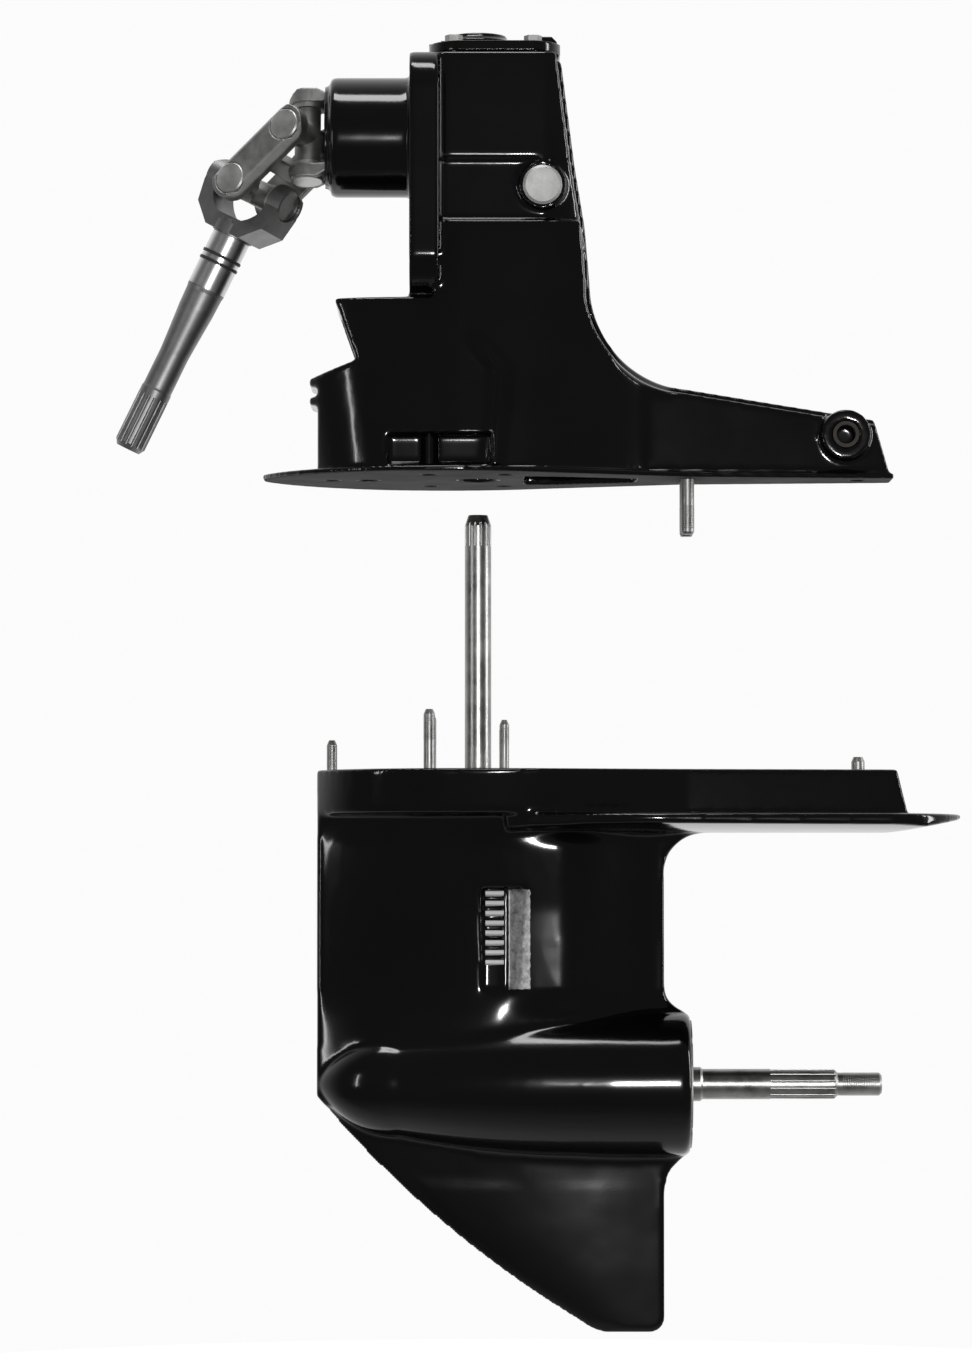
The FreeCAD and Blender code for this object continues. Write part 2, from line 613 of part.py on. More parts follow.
PHASE = 12.5
SWING = 29.8
BEND_FIRST = 35.8
BEND_SECOND = 23.6


AT_INPUT = turn((1, 0, 0), -PHASE)
AT_CROSS_1 = chain(AT_INPUT, shift(dims.cross_x, 0, 0), turn((0, 0, 1), -SWING))
AT_CENTRE = chain(AT_CROSS_1, turn((0, 1, 0), -BEND_FIRST))
AT_CROSS_2 = chain(AT_CENTRE, shift(-dims.joint_span, 0, 0), turn((0, 1, 0), -BEND_SECOND))


def fork(name, reach, base_x, base_radius, shoulder, face, root_half, hub_radius, hub_end):
    """A yoke: two ears with eyes on local Z at the origin, its base plate towards +X.

    reach is the floor between the ears and shoulder the corner where an ear meets the base.
    """
    eye_radius = dims.eye_radius
    inner = dims.ear_inner
    shoulder_x, shoulder_half = shoulder
    side = prism(name + "_side", "xz", [
        (base_x, -base_radius), (base_x, base_radius), (shoulder_x, shoulder_half),
        (8, face), (-9, face), (-eye_radius, face - 7), (-eye_radius, inner), (14, inner),
        (reach, 14), (reach, -14), (14, -inner), (-eye_radius, -inner),
        (-eye_radius, 7 - face), (-9, -face), (8, -face), (shoulder_x, -shoulder_half)],
        -30, 30, {7: (30, -1), 9: (30, -1)})
    eye = cylinder(name + "_eye", eye_radius, -50, 50)
    arm = prism(name + "_arm", "xy", [
        (0, -eye_radius + 1.5), (reach, -root_half), (base_x, -root_half),
        (base_x, root_half), (reach, root_half), (0, eye_radius - 1.5)], -50, 50)
    ears = common(name + "_ears", side, fuse(name + "_plan", eye, arm))
    hub = cylinder(name + "_hub", hub_radius, reach + 2, hub_end, (0, 0), "x")
    plate = cylinder(name + "_plate", base_radius, as_size(base_x) - 9, base_x, (0, 0), "x")
    cups = cylinder(name + "_cup_holes", dims.cup_radius, -50, 50)
    return fuse(name + "_solid", ears, hub, plate), cups


def cross(name):
    """A spider: two crossed journals with seal collars at the roots."""
    radius = dims.trunnion_radius
    journals = []
    for axis in ("y", "z"):
        points = [(-37, 0), (-37, 6.8), (-36, radius), (-23.4, radius), (-23.4, 11), (23.4, 11),
                  (23.4, radius), (36, radius), (37, 6.8), (37, 0)]
        journals.append(turned(f"{name}_{axis}", points, (0, 0), axis))
    return fuse(name, *journals)


def cup(name, axis, side_sign, x=0):
    """A needle cup: closed outside, open towards the cross."""
    radius = dims.cup_radius
    profile = [(dims.cup_inner, dims.cup_bore), (37.4, dims.cup_bore), (37.4, 0), (dims.cup_face, 0),
               (dims.cup_face, radius - 1.2), (dims.cup_face - 1.2, radius), (dims.cup_inner, radius)]
    item = turned(name, [(side_sign * as_size(along), out) for along, out in profile], (0, 0), axis)
    item.Placement = FreeCAD.Placement(FreeCAD.Vector(as_size(x).value, 0, 0), item.Placement.Rotation)
    return item


def set_down(node, placement, item):
    """Put a piece built about its own cross centre where the bent joint holds it."""
    holder = document.addObject("Part::Compound", node)
    holder.Links = [item] if not isinstance(item, list) else item
    holder.Placement = placement
    return keep(node, holder)


def input_fork():
    """The yoke on the pinion shaft, held by its nut."""
    reach = dims.yoke_reach
    at_cross = chain(AT_INPUT, shift(dims.cross_x, 0, 0))
    solid, cups = fork("input_fork", reach, reach + 9, 27, (24, 30), dims.cup_face, 20, 22,
                       dims.hub_end - dims.cross_x)
    bore = cylinder("input_fork_bore", 11.8, 20, 80, (0, 0), "x")
    set_down("input_yoke", at_cross, cut("input_fork_cut", solid, cups, bore))
    set_down("input_yoke_cups", at_cross, [cup("input_cup", "z", side_sign) for side_sign in (-1, 1)])


def centre_fork():
    """The double yoke between the two crosses: two plates with an eye at each end, and a bridge."""
    span = dims.joint_span
    edge = dims.plate_edge
    face = dims.cup_face
    inner = dims.ear_inner
    plates = []
    for low, high in ((-face, -inner), (inner, face)):
        plates.append(box("centre_plate", (-span, 0), (low, high), (-edge, edge)))
        plates += [cylinder("centre_eye", edge, low, high, (x, 0), "y") for x in (0, -span)]
    bridge = box("centre_bridge", (-span / 2 - 7, -span / 2 + 7), (-inner - 1, inner + 1), (-9.5, 9.5))
    holes = [cylinder("centre_hole", dims.cup_radius, -60, 60, (x, 0), "y") for x in (0, -span)]
    bevel = dims.plate_bevel
    octagon = [(-face, bevel - edge), (bevel - face, -edge), (face - bevel, -edge), (face, bevel - edge),
               (face, edge - bevel), (face - bevel, edge), (bevel - face, edge), (-face, edge - bevel)]
    forged = common("centre_forging", fuse("centre_solid", *plates, bridge),
                    prism("centre_bevels", "yz", octagon, -span - 40, 40))
    set_down("centre_yoke", AT_CENTRE, cut("centre_fork", forged, *holes))
    cups = [cup("centre_cup", "y", side_sign, x) for side_sign in (-1, 1) for x in (0, -span)]
    set_down("centre_yoke_cups", AT_CENTRE, cups)


def input_shaft():
    """The splined shaft to the engine, forged in one with the outer yoke.

    Its two ring grooves seal in the boat's bearing, which runs on the land behind them.
    """
    reach = dims.shaft_reach
    base = dims.shaft_base
    solid, cups = fork("shaft_fork", reach, base, 19, (27, 37), 42, 17, 18, base + 1)
    flipped = cut("shaft_fork_cut", solid, cups)
    flipped.Placement = turn((0, 0, 1), 180)
    set_down("shaft_yoke_cups", AT_CROSS_2, [cup("shaft_cup", "z", side_sign) for side_sign in (-1, 1)])

    land = dims.land_radius
    stem = dims.stem_radius
    crest = dims.flutes_radius
    tip = dims.shaft_tip
    profile = [(base - 1, 0), (base - 1, land)]
    wide = dims.ring_wide
    for at in (dims.ring_one, dims.ring_two):
        profile += [(at, land), (at, land - 2), (at + wide, land - 2), (at + wide, land)]
    profile += [(dims.land_end, land), (dims.land_end + 3, land - 0.6), (112, 15.4), (131, 14.1),
                (dims.stem_x, stem), (dims.flutes_x - 2, stem), (dims.flutes_x, crest),
                (tip - 5, crest), (tip, crest - 3), (tip, 0)]
    bar = turned("input_bar", [(-as_size(x), radius) for x, radius in profile])
    flutes = []
    for number in range(16):
        angle = math.radians(360 / 16 * number)
        place = ((crest + 0.5) * math.cos(angle), (crest + 0.5) * math.sin(angle))
        flutes.append(cylinder("input_flute", 1.5, -tip - 1, -dims.flutes_x - 6, place, "x"))
    set_down("input_shaft", AT_CROSS_2,
             fuse("input_shaft_solid", flipped, cut("input_bar_cut", bar, *flutes)))
    rings = [ring("shaft_ring", land - 2, land + 0.8, -at - wide + 0.3, -at - 0.3)
             for at in (dims.ring_one, dims.ring_two)]
    set_down("input_shaft_rings", AT_CROSS_2, rings)


def universal_joint():
    input_fork()
    set_down("first_cross", AT_CROSS_1, cross("spider_1"))
    centre_fork()
    set_down("second_cross", AT_CROSS_2, cross("spider_2"))
    input_shaft()


# ---------------------------------------------------------------- gear housing

def blade_section(height, wide, tail_half):
    """One level of the strut: a rounded nose, greatest width near the driveshaft, a thin tail."""
    nose = 2.5
    rise = as_size(wide) - nose
    run = 75 - dims.leading_x
    half = [(dims.leading_x, nose), (75, wide), (dims.trailing_x, tail_half), (275, tail_half - 1)]
    points, arcs = both_sides(half, {0: ((run * run + rise * rise) / (rise * 2), 1), 1: (650, 1)})
    return (height, points, arcs)


def gear_housing():
    """The lower casting: deck, strut, anti-ventilation plate, torpedo and skeg."""
    half = [(dims.leading_x, 3), (-30, 56), (40, 74), (110, 72), (230, 46), (407, 28)]
    points, arcs = both_sides(half, {0: (130, 1), 1: (160, 1), 2: (280, 1)})
    half = [(dims.leading_x, 3), (-30, 50), (40, 68), (110, 66), (230, 45), (416, 29)]
    low_points, low_arcs = both_sides(half, {0: (130, 1), 1: (160, 1), 2: (280, 1)})
    deck = loft("deck_rim", [(dims.deck_foot, low_points, low_arcs), (dims.deck_z, points, arcs)])

    side = prism("blade_side", "xz", [
        (dims.leading_x, dims.deck_z - 1), (dims.leading_x, dims.prop_z - 10), (-70, -815), (228.5, -815),
        (228.5, -735), (dims.trailing_x, -713), (dims.trailing_x, -625), (240, -587), (270, -583),
        (270, dims.deck_z - 1)], -100, 100, {4: (24, -1), 6: (34, -1)})
    levels = (
        (-816, 30, 6), (dims.prop_z, 40, 7), (-740, 38, 6.5), (-650, 42, 6.5), (-600, 48, 7),
        (dims.deck_z - 1, 58, 9))
    blade = common("blade", side, loft("blade_form", [blade_section(*level) for level in levels]))

    end = dims.torpedo_end
    radius = dims.torpedo_radius
    torpedo = turned("torpedo", [
        (dims.leading_x, 0), (-8.4, 43.7), (110, 58.5), (170, radius), (end - 9, radius), (end, radius - 9),
        (end, 0)], (0, dims.prop_z), "x", {0: (73, -1), 1: (700, -1), 4: (9, -1)})

    sections = []
    for height, front, rear, thick in ((-1003, 152, 213, 3.2), (-950, 72, 213, 4.6), (-890, -1, 213, 6),
                                       (-840, -50, 213, 7.5), (-806, -77, 213, 10)):
        middle = (front + rear) / 2
        half = [(front, 1.4), (middle, thick), (rear, 2.6)]
        points, arcs = both_sides(half, {0: (2600, 1), 1: (2600, 1)})
        sections.append((height, points, arcs))
    skeg_side = prism("skeg_side", "xz", [
        (-79, -800), (-79, -806), (145, -995.5), (163, dims.skeg_foot), (201, dims.skeg_foot),
        (dims.trailing_x, -991), (dims.trailing_x, -893), (229, -857), (229, -800)], -30, 30,
        {1: (887, 1), 2: (42, 1), 4: (12, 1), 6: (42, -1)})
    rear_root = box("skeg_root", (200, 230), (-3, 3), (-900, -830))
    skeg = common("skeg", skeg_side, fuse("skeg_forms", loft("skeg_form", sections), rear_root))

    foot = dims.deck_foot
    crown = prism("plate_crown", "yz", [
        (-140, foot - 2.5), (0, foot - 15), (140, foot - 2.5), (140, foot), (-140, foot)],
        60, 470, {0: (900, 1), 1: (900, 1)})
    thinning = prism("plate_thinning", "xz", [
        (60, -600), (330, dims.deck_foot - 18), (dims.vent_plate_x + 1, dims.deck_foot - 4),
        (dims.vent_plate_x + 1, dims.deck_foot + 1), (60, dims.deck_foot + 1)], -140, 140, {1: (500, 1)})
    widest = dims.vent_plate_half
    half = [(80, 60), (150, 90), (220, widest), (400, widest - 8), (dims.vent_plate_x, 30)]
    points, arcs = both_sides(half, {1: (150, 1), 3: (86, 1)})
    plan = prism("vent_plate_plan", "xy", points, -590, -565, arcs)
    plate = common("vent_plate", crown, thinning, plan)

    solid = fuse("gear_solid", deck, blade, torpedo, skeg, plate)
    shaft = (dims.upright_x, 0)
    hollows = [
        cylinder("pump_well", 36, -581, dims.deck_z + 1, shaft),
        cylinder("driveshaft_bore", 14, -740, -580, shaft),
        cylinder("bearing_bore", 27, -621, -580, shaft),
        cylinder("needle_bore", 19.5, -752, -728, shaft),
        cylinder("pinion_room", 30, -790, -750, shaft),
        cylinder("gear_chamber_bore", dims.gear_bore, 5, dims.exhaust_start + 1, (0, dims.prop_z), "x"),
        cylinder("exhaust_chamber", dims.exhaust_bore, dims.exhaust_start, dims.torpedo_end + 1,
                 (0, dims.prop_z), "x"),
        cylinder("spool_bore", 14.5, -51, 6, (0, dims.prop_z), "x"),
        cylinder("crank_room", 14.5, dims.prop_z, -774, (dims.shift_x, 0)),
        cylinder("shift_bore", 7.5, -776, -560, (dims.shift_x, 0)),
        cylinder("shift_well", 13, -562, dims.deck_z + 1, (dims.shift_x, 0)),
        cylinder("drain_hole", 5, 36, 70, (dims.drain_x, dims.drain_z), "y"),
        cylinder("drain_face", 9, 46.5, 70, (dims.drain_x, dims.drain_z), "y"),
    ]
    # exhaust way: a tapering shaft from the deck down into the chamber round the bearing carrier
    way_side = prism("exhaust_way_side", "xz", [
        (104, dims.deck_z + 1), (104, -600), (112, -620), (112, -760), (178, -760), (178, -620),
        (188, -590), (188, dims.deck_z + 1)], -40, 40)
    way_plan = loft("exhaust_way_plan", [
        (-765, *both_sides([(100, 20), (140, 18), (190, 6)])),
        (-640, *both_sides([(100, 24), (140, 20), (190, 6)])),
        (-575, *both_sides([(100, 30), (140, 24), (190, 6)])),
        (dims.deck_z + 2, *both_sides([(100, 40), (140, 38), (190, 28)]))])
    hollows.append(common("exhaust_way", way_side, way_plan))
    hollows.append(box("water_way", (88, 99), (-20, 20), (-704, -580)))
    for side_sign in (-1, 1):
        low, high = sorted((side_sign * 19, side_sign * 26))
        hollows.append(box("water_gallery", (62, 99), (low, high), (-704, -625)))
        # recess round the intake, with a ramp behind its slots
        outer = 60 * side_sign
        points = [(60, 36 * side_sign), (81, 36 * side_sign), (82, 33 * side_sign),
                  (101, 41.5 * side_sign), (103, outer), (60, outer)]
        hollows.append(prism("intake_recess", "xy", points, -718, -632))
        for number in range(8):
            top = -635.5 - 8.2 * number
            points = [(side_sign * 50, top - 6), (side_sign * 50, top - 1), (side_sign * 24, top + 10),
                      (side_sign * 24, top + 5)]
            hollows.append(prism("intake_slot", "yz", points, 63, 79))
    for y in (-15, 15):
        hollows.append(cylinder("drop_stud_hole", 7, dims.deck_z - 46, dims.deck_z + 1, (232.7, y)))
    return keep("gear_housing", cut("gear_case", solid, *hollows))


def stud(name, spot, radius, low, high):
    shoulder = as_size(high) - 4
    points = [(low, 0), (low, radius), (shoulder, radius), (high, radius - 1.8), (high, 0)]
    return turned(name, points, spot, "z")


def lower_trim():
    """Loose pieces that stay with the lower casting."""
    deck = dims.deck_z
    studs = []
    for y in (-dims.side_stud_y, dims.side_stud_y):
        studs.append(stud("side_stud", (16.8, y), 4.7, deck, deck + 49))
        studs.append(stud("side_stud", (79, y), 3.9, deck, deck + 40))
    keep("side_studs", group("side_stud_set", *studs))
    keep("front_stud", stud("nose_stud", (-65.5, 0), 4.3, deck, deck + 25))
    keep("rear_stud", stud("tail_stud", (376, 0), 5.6, deck, deck + 11))
    shaft = (dims.upright_x, 0)
    keep("water_pump_base", ring("pump_base", 12.5, 36, -581, -574, shaft, "z"))
    keep("water_pump_face_plate", ring("pump_face", 12.5, 34, -574, -573, shaft, "z"))
    keep("water_pump_housing", turned("pump_shell", [
        (-573, 26), (-553.5, 26), (-553.5, 12.5), (-545, 12.5), (-545, 22), (-549, 33), (-573, 33)],
        shaft, "z"))
    high = turned("lower_cup", [(-620, 19.6), (-604, 22.6), (-604, 27), (-620, 27)], shaft, "z")
    needle = ring("needle_shell", 15.4, 19.5, -751, -729, shaft, "z")
    keep("lower_driveshaft_bearings", group("lower_cups", high, needle))
    keep("lower_driveshaft_seal", ring("shaft_seal", 11.5, 27, -592, -585, shaft, "z"))
    axis = (0, dims.prop_z)
    fit = dims.gear_bore
    keep("forward_gear_cup", turned("forward_cup", [(8.5, 33.5), (22, 30.5), (22, fit), (8.5, fit)], axis))
    start = dims.exhaust_start
    wall = dims.exhaust_bore
    keep("reverse_gear_cup", ring("reverse_cup", 26.4, 33, 94.5, 108, axis))

    drum = turned("carrier_drum", [
        (94.5, 33), (start, 33), (start, 24), (start + 4, 18), (228, 18), (228, 24), (start + 16, 24),
        (start + 16, 46), (start + 12, wall), (start, wall), (start, fit - 0.2), (94.5, fit - 0.2)], axis)
    rim = ring("carrier_rim", 47, wall, 212, 228, axis)
    on_shaft = shift(0, 0, dims.prop_z)
    vanes = []
    for number in range(6):
        vane = box("carrier_vane", (212, 228), (-2, 2), (23, 48))
        vane.Placement = chain(on_shaft, turn((1, 0, 0), 60 * number + 30), shift(212, -2, 23))
        vanes.append(vane)
    keep("bearing_carrier", fuse("carrier", drum, rim, *vanes))
    keep("carrier_tab_washer", ring("tab_washer", 48, 53.6, 228, 229.2, axis))
    nut = ring("ring_nut", 46, 53.6, 229.2, 235.5, axis)
    notches = []
    for number in range(8):
        notch = box("nut_notch", (232, 237), (-4, 4), (48.5, 60))
        notch.Placement = chain(on_shaft, turn((1, 0, 0), 45 * number), shift(232, -4, 48.5))
        notches.append(notch)
    keep("carrier_retaining_nut", cut("ring_nut_cut", nut, *notches))
    keep("prop_shaft_bearing", ring("prop_needle", 13.4, 18, 190, 214, axis))
    keep("prop_shaft_seals", group("prop_seals", ring("inner_seal", 13.4, 18, 216, 221, axis),
                                   ring("outer_seal", 13.4, 18, 222, 227, axis)))
    plug = turned("drain_screw", [(41, 0), (41, 5), (46.5, 5), (46.5, 8), (50.5, 8), (50.5, 0)],
                  (dims.drain_x, dims.drain_z), "y")
    keep("drain_plug", plug)
    keep("shift_shaft_bushing", ring("shift_bush", 5.3, 13, -562, -550, (dims.shift_x, 0), "z"))


def lower_drive():
    """Driveshaft, pinion, propeller shaft, clutch and shift gear."""
    shaft = (dims.upright_x, 0)
    top = dims.driveshaft_top
    radius = dims.driveshaft_radius
    bar = turned("long_shaft", [
        (-775.5, 0), (-775.5, 7), (-770, 7), (-770, 9), (-754, 10.5), (-752, 15), (-729, 15),
        (-728, radius), (top - 9, radius), (top, radius - 3), (top, 0)], shaft, "z")
    flutes = []
    for number in range(14):
        angle = math.radians(360 / 14 * number)
        spot = (dims.upright_x + (radius + 0.4) * math.cos(angle), (radius + 0.4) * math.sin(angle))
        flutes.append(cylinder("drive_flute", 1.4, top - 26, top + 1, spot))
    keep("lower_driveshaft", cut("long_shaft_cut", bar, *flutes))
    keep("lower_driveshaft_cone", turned("lower_cone", [
        (-619.5, radius), (-604.5, radius), (-604.5, 22), (-619.5, 19)], shaft, "z"))
    rotor = [cylinder("rotor_hub", 15, -572, -554.5, shaft)]
    for number in range(6):
        blade = box("rotor_blade", (12, 25), (-1.8, 1.8), (-572, -554.5))
        on_upright = chain(shift(dims.upright_x, 0, 0), turn((0, 0, 1), 60 * number))
        blade.Placement = chain(on_upright, shift(12, -1.8, -572))
        rotor.append(blade)
    rotor_hole = cylinder("rotor_hole", radius, -573, -553, shaft)
    keep("pump_impeller", cut("rotor", fuse("rotor_solid", *rotor), rotor_hole))
    apex = (dims.upright_x, 0, dims.prop_z)
    pinion = bevel_gear("low_pinion", dims.lower_module, dims.lower_pinion_teeth, dims.lower_gear_teeth,
                        dims.lower_face, 11, 7, 15, 0.6, True)
    keep("lower_pinion", aim(pinion, apex, FreeCAD.Rotation(TURN_Y, 90)))
    nut = prism("pinion_nut_hex", "xy", hexagon(shaft, 9.5), -775.2, -770)
    nut_hole = cylinder("pinion_nut_hole", 7, -777, -768, shaft)
    keep("pinion_nut", cut("pinion_nut_solid", nut, nut_hole))

    forward = bevel_gear("ahead_bevel", dims.lower_module, dims.lower_gear_teeth, dims.lower_pinion_teeth,
                         dims.lower_face, 13.5, 5, 20, 20, False)
    keep("forward_gear", aim(forward, apex, FreeCAD.Rotation()))
    reverse = bevel_gear("astern_bevel", dims.lower_module, dims.lower_gear_teeth, dims.lower_pinion_teeth,
                         dims.lower_face, 13.5, 5, 20, 19, False)
    keep("reverse_gear", aim(reverse, apex, FreeCAD.Rotation(FreeCAD.Vector(0, 0, 1), 180)))
    axis = (0, dims.prop_z)
    keep("forward_gear_cone", turned("forward_cone", [(9, 20), (21.5, 20), (21.5, 29.9), (9, 32.9)], axis))
    keep("reverse_gear_cone", ring("reverse_cone", 20, 26, 94.8, 104.5, axis))

    journal = dims.prop_journal_radius
    radius = dims.prop_shaft_radius
    collar = dims.prop_collar_x
    seat_x = dims.prop_seat_x
    crest = dims.prop_spline_radius
    end = dims.prop_shaft_end
    thread = dims.prop_thread_radius
    rod = turned("prop_bar", [
        (-14, 5.6), (-14, 11), (-12, journal), (collar, journal), (collar, radius + 1.6),
        (seat_x - 2, radius + 1.6), (seat_x, radius), (dims.prop_spline_x, radius),
        (dims.prop_spline_x, crest), (dims.prop_thread_x - 3, crest), (dims.prop_thread_x, thread),
        (end - 2, thread), (end, thread - 2), (end, 0), (90, 0), (90, 5.6)], axis)
    flutes = []
    for number in range(13):
        angle = math.radians(360 / 13 * number)
        spot = ((crest + 0.4) * math.cos(angle), (crest + 0.4) * math.sin(angle) + dims.prop_z)
        flutes.append(cylinder("prop_flute", 1.6, dims.prop_spline_x, dims.prop_thread_x + 1, spot, "x"))
    middle = dims.upright_x
    slot = box("pin_slot", (middle - 9, middle + 9), (-20, 20), (dims.prop_z - 3.4, dims.prop_z + 3.4))
    keep("propeller_shaft", cut("prop_bar_cut", rod, slot, *flutes))

    bore = journal + 0.4
    dog = turned("dog_ring", [
        (middle - 9.5, bore), (middle + 9.5, bore), (middle + 9.5, 19.5), (middle + 4, 19.5),
        (middle + 3, 18), (middle - 3, 18), (middle - 4, 19.5), (middle - 9.5, 19.5)], axis)
    jaws = []
    for number in range(3):
        at_dog = chain(shift(middle, 0, dims.prop_z), turn((1, 0, 0), 120 * number + 60))
        for low in (-12.6, 8):
            jaw = box("dog_jaw", (low, low + 4.6), (-4, 4), (14, 18.8))
            jaw.Placement = chain(at_dog, shift(low, -4, 14))
            jaws.append(jaw)
    pin_hole = cylinder("dog_pin_hole", 2.6, -30, 30, (middle, dims.prop_z), "y")
    keep("clutch_dog", cut("dog", fuse("dog_solid", dog, *jaws), pin_hole))
    keep("clutch_cross_pin", cylinder("dog_pin", 2.6, -18, 18, (middle, dims.prop_z), "y"))
    x = dims.shift_x
    keep("shift_plunger", turned("plunger", [
        (x - 9, 0), (x - 9, 12), (x - 3.2, 12), (x - 3.2, 5), (x + 3.2, 5), (x + 3.2, 12), (x + 8, 12),
        (x + 8, 5.1), (middle - 2.6, 5.1), (middle - 2.6, 0)], axis))
    crank = [
        cylinder("shift_rod", 4.75, -778, -538, (x, 0)),
        cylinder("crank_disc", 13, -782, -777.5, (x, 0)),
        cylinder("crank_pin", 2.5, -803, -781, (x, dims.crank_throw)),
    ]
    keep("shift_shaft", fuse("shift_crank", *crank))


driveshaft_housing()
top_cover()
upper_trim()
upper_gears()
input_line()
upright_line()
universal_joint()
gear_housing()
lower_trim()
lower_drive()
document.recompute()

faults = [item.Label for item in document.Objects if "Invalid" in item.State or "Error" in item.State]
faults += [node for node, item in PARTS.items() if item.Shape.isNull() or not item.Shape.isValid()]
if faults:
    raise RuntimeError("these objects failed: " + ", ".join(faults))

os.makedirs("parts", exist_ok=True)
for node, item in PARTS.items():
    item.Shape.exportStep(f"parts/{node}.step")
print(len(PARTS), "sub-parts written")
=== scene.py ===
# %% [markdown]
# # A stern drive, shown apart
# A stern drive hangs on the back of a boat.  Its upper casting holds the input gears, its lower one
# the propeller shaft, and a splined shaft joins the two.  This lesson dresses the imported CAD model:
# every casting, forging and shaft gets the surface that its maker gives it, and the threads and
# slats that are too fine for the CAD are made here.

# %% Load the fixed frame
import json
import math

import bmesh
import bpy
from mathutils import Matrix, Vector

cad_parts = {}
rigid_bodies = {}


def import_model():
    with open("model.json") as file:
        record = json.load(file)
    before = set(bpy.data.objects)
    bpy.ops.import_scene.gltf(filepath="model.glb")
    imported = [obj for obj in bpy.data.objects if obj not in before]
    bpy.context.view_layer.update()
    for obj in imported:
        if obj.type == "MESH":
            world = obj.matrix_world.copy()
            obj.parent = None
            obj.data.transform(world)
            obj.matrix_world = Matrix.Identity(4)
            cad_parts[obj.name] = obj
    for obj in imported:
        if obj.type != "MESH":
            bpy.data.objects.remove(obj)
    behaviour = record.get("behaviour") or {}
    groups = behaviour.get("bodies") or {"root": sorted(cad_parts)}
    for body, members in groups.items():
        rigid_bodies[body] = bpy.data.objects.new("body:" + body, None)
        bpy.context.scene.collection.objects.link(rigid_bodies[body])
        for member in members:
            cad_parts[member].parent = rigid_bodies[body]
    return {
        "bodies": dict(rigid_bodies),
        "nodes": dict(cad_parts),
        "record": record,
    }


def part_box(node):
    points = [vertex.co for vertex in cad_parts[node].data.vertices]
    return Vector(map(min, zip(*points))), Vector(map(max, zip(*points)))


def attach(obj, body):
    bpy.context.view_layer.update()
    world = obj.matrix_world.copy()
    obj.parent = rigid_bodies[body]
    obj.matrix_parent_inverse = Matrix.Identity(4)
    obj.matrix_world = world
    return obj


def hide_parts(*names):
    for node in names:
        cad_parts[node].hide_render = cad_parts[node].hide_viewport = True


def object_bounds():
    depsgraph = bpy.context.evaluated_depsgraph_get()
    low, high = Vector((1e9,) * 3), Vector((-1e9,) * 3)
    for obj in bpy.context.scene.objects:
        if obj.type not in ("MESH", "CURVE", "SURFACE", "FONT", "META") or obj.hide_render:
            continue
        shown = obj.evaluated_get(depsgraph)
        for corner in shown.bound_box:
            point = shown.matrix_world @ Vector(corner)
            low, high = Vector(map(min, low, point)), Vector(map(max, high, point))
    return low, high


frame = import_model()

CAD_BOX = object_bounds()
SCENE = bpy.context.scene
MM = 0.001
print("bodies:", ", ".join(sorted(frame["bodies"])))
print("CAD box:", [[round(v, 4) for v in corner] for corner in CAD_BOX])

# %% [markdown]
# ## A small kit for materials
# A material is a graph of nodes.  Writing each link by hand hides what the finish is, so two short
# helpers place a node with its settings and join sockets.  Every pattern reads Object coordinates,
# so it stays fixed to the metal when a joint moves.

# %% Node helpers


class Finish:
    """One procedural material, its nodes added by kind."""

    def __init__(self, name):
        self.material = bpy.data.materials.new(name)
        self.material.use_nodes = True
        self.tree = self.material.node_tree
        self.shader = self.tree.nodes["Principled BSDF"]
        self.place = self.node("ShaderNodeTexCoord").outputs["Object"]

    def node(self, kind, **settings):
        made = self.tree.nodes.new(kind)
        for key, value in settings.items():
            setattr(made, key, value)
        return made

    def join(self, source, target):
        self.tree.links.new(source, target)

    def stretched(self, scale):
        """Object coordinates, stretched by a scale for each axis."""
        mapping = self.node("ShaderNodeMapping")
        mapping.inputs["Scale"].default_value = scale
        self.join(self.place, mapping.inputs["Vector"])
        return mapping.outputs["Vector"]

    def noise(self, scale, detail=3.0, roughness=0.5, vector=None):
        made = self.node("ShaderNodeTexNoise")
        made.inputs["Scale"].default_value = scale
        made.inputs["Detail"].default_value = detail
        made.inputs["Roughness"].default_value = roughness
        self.join(vector or self.place, made.inputs["Vector"])
        return made.outputs["Fac"]

    def ramp(self, source, low, high, start=0.0, end=1.0):
        """Map a grey value onto a range of greys or colours."""
        made = self.node("ShaderNodeValToRGB")
        first, last = made.color_ramp.elements
        first.position, last.position = start, end
        first.color = low if isinstance(low, tuple) else (low, low, low, 1)
        last.color = high if isinstance(high, tuple) else (high, high, high, 1)
        self.join(source, made.inputs["Fac"])
        return made.outputs["Color"]

    def math(self, operation, first, second):
        made = self.node("ShaderNodeMath", operation=operation)
        for socket, value in zip(made.inputs, (first, second)):
            if isinstance(value, (int, float)):
                socket.default_value = value
            else:
                self.join(value, socket)
        return made.outputs[0]

    def bump(self, height, distance, strength=1.0, normal=None):
        made = self.node("ShaderNodeBump")
        made.inputs["Strength"].default_value = strength
        made.inputs["Distance"].default_value = distance
        self.join(height, made.inputs["Height"])
        if normal is not None:
            self.join(normal, made.inputs["Normal"])
        return made.outputs["Normal"]

    def set(self, **sockets):
        """Set or link the shader's sockets, named as in the panel but with _ for a space."""
        for key, value in sockets.items():
            socket = self.shader.inputs[key.replace("_", " ")]
            if isinstance(value, (int, float, tuple)):
                socket.default_value = value
            else:
                self.join(value, socket)
        return self.material


print("node helpers ready")

# %% [markdown]
# ## Gloss black enamel over cast aluminium
# The castings are sand cast, then sprayed with a thick gloss enamel.  Under the gloss the metal is
# never quite flat, so a long low wave bends the reflections, and the enamel itself dries with a fine
# orange-peel texture.  Both are bump, because they are a few hundredths of a millimetre deep.

# %% Enamel


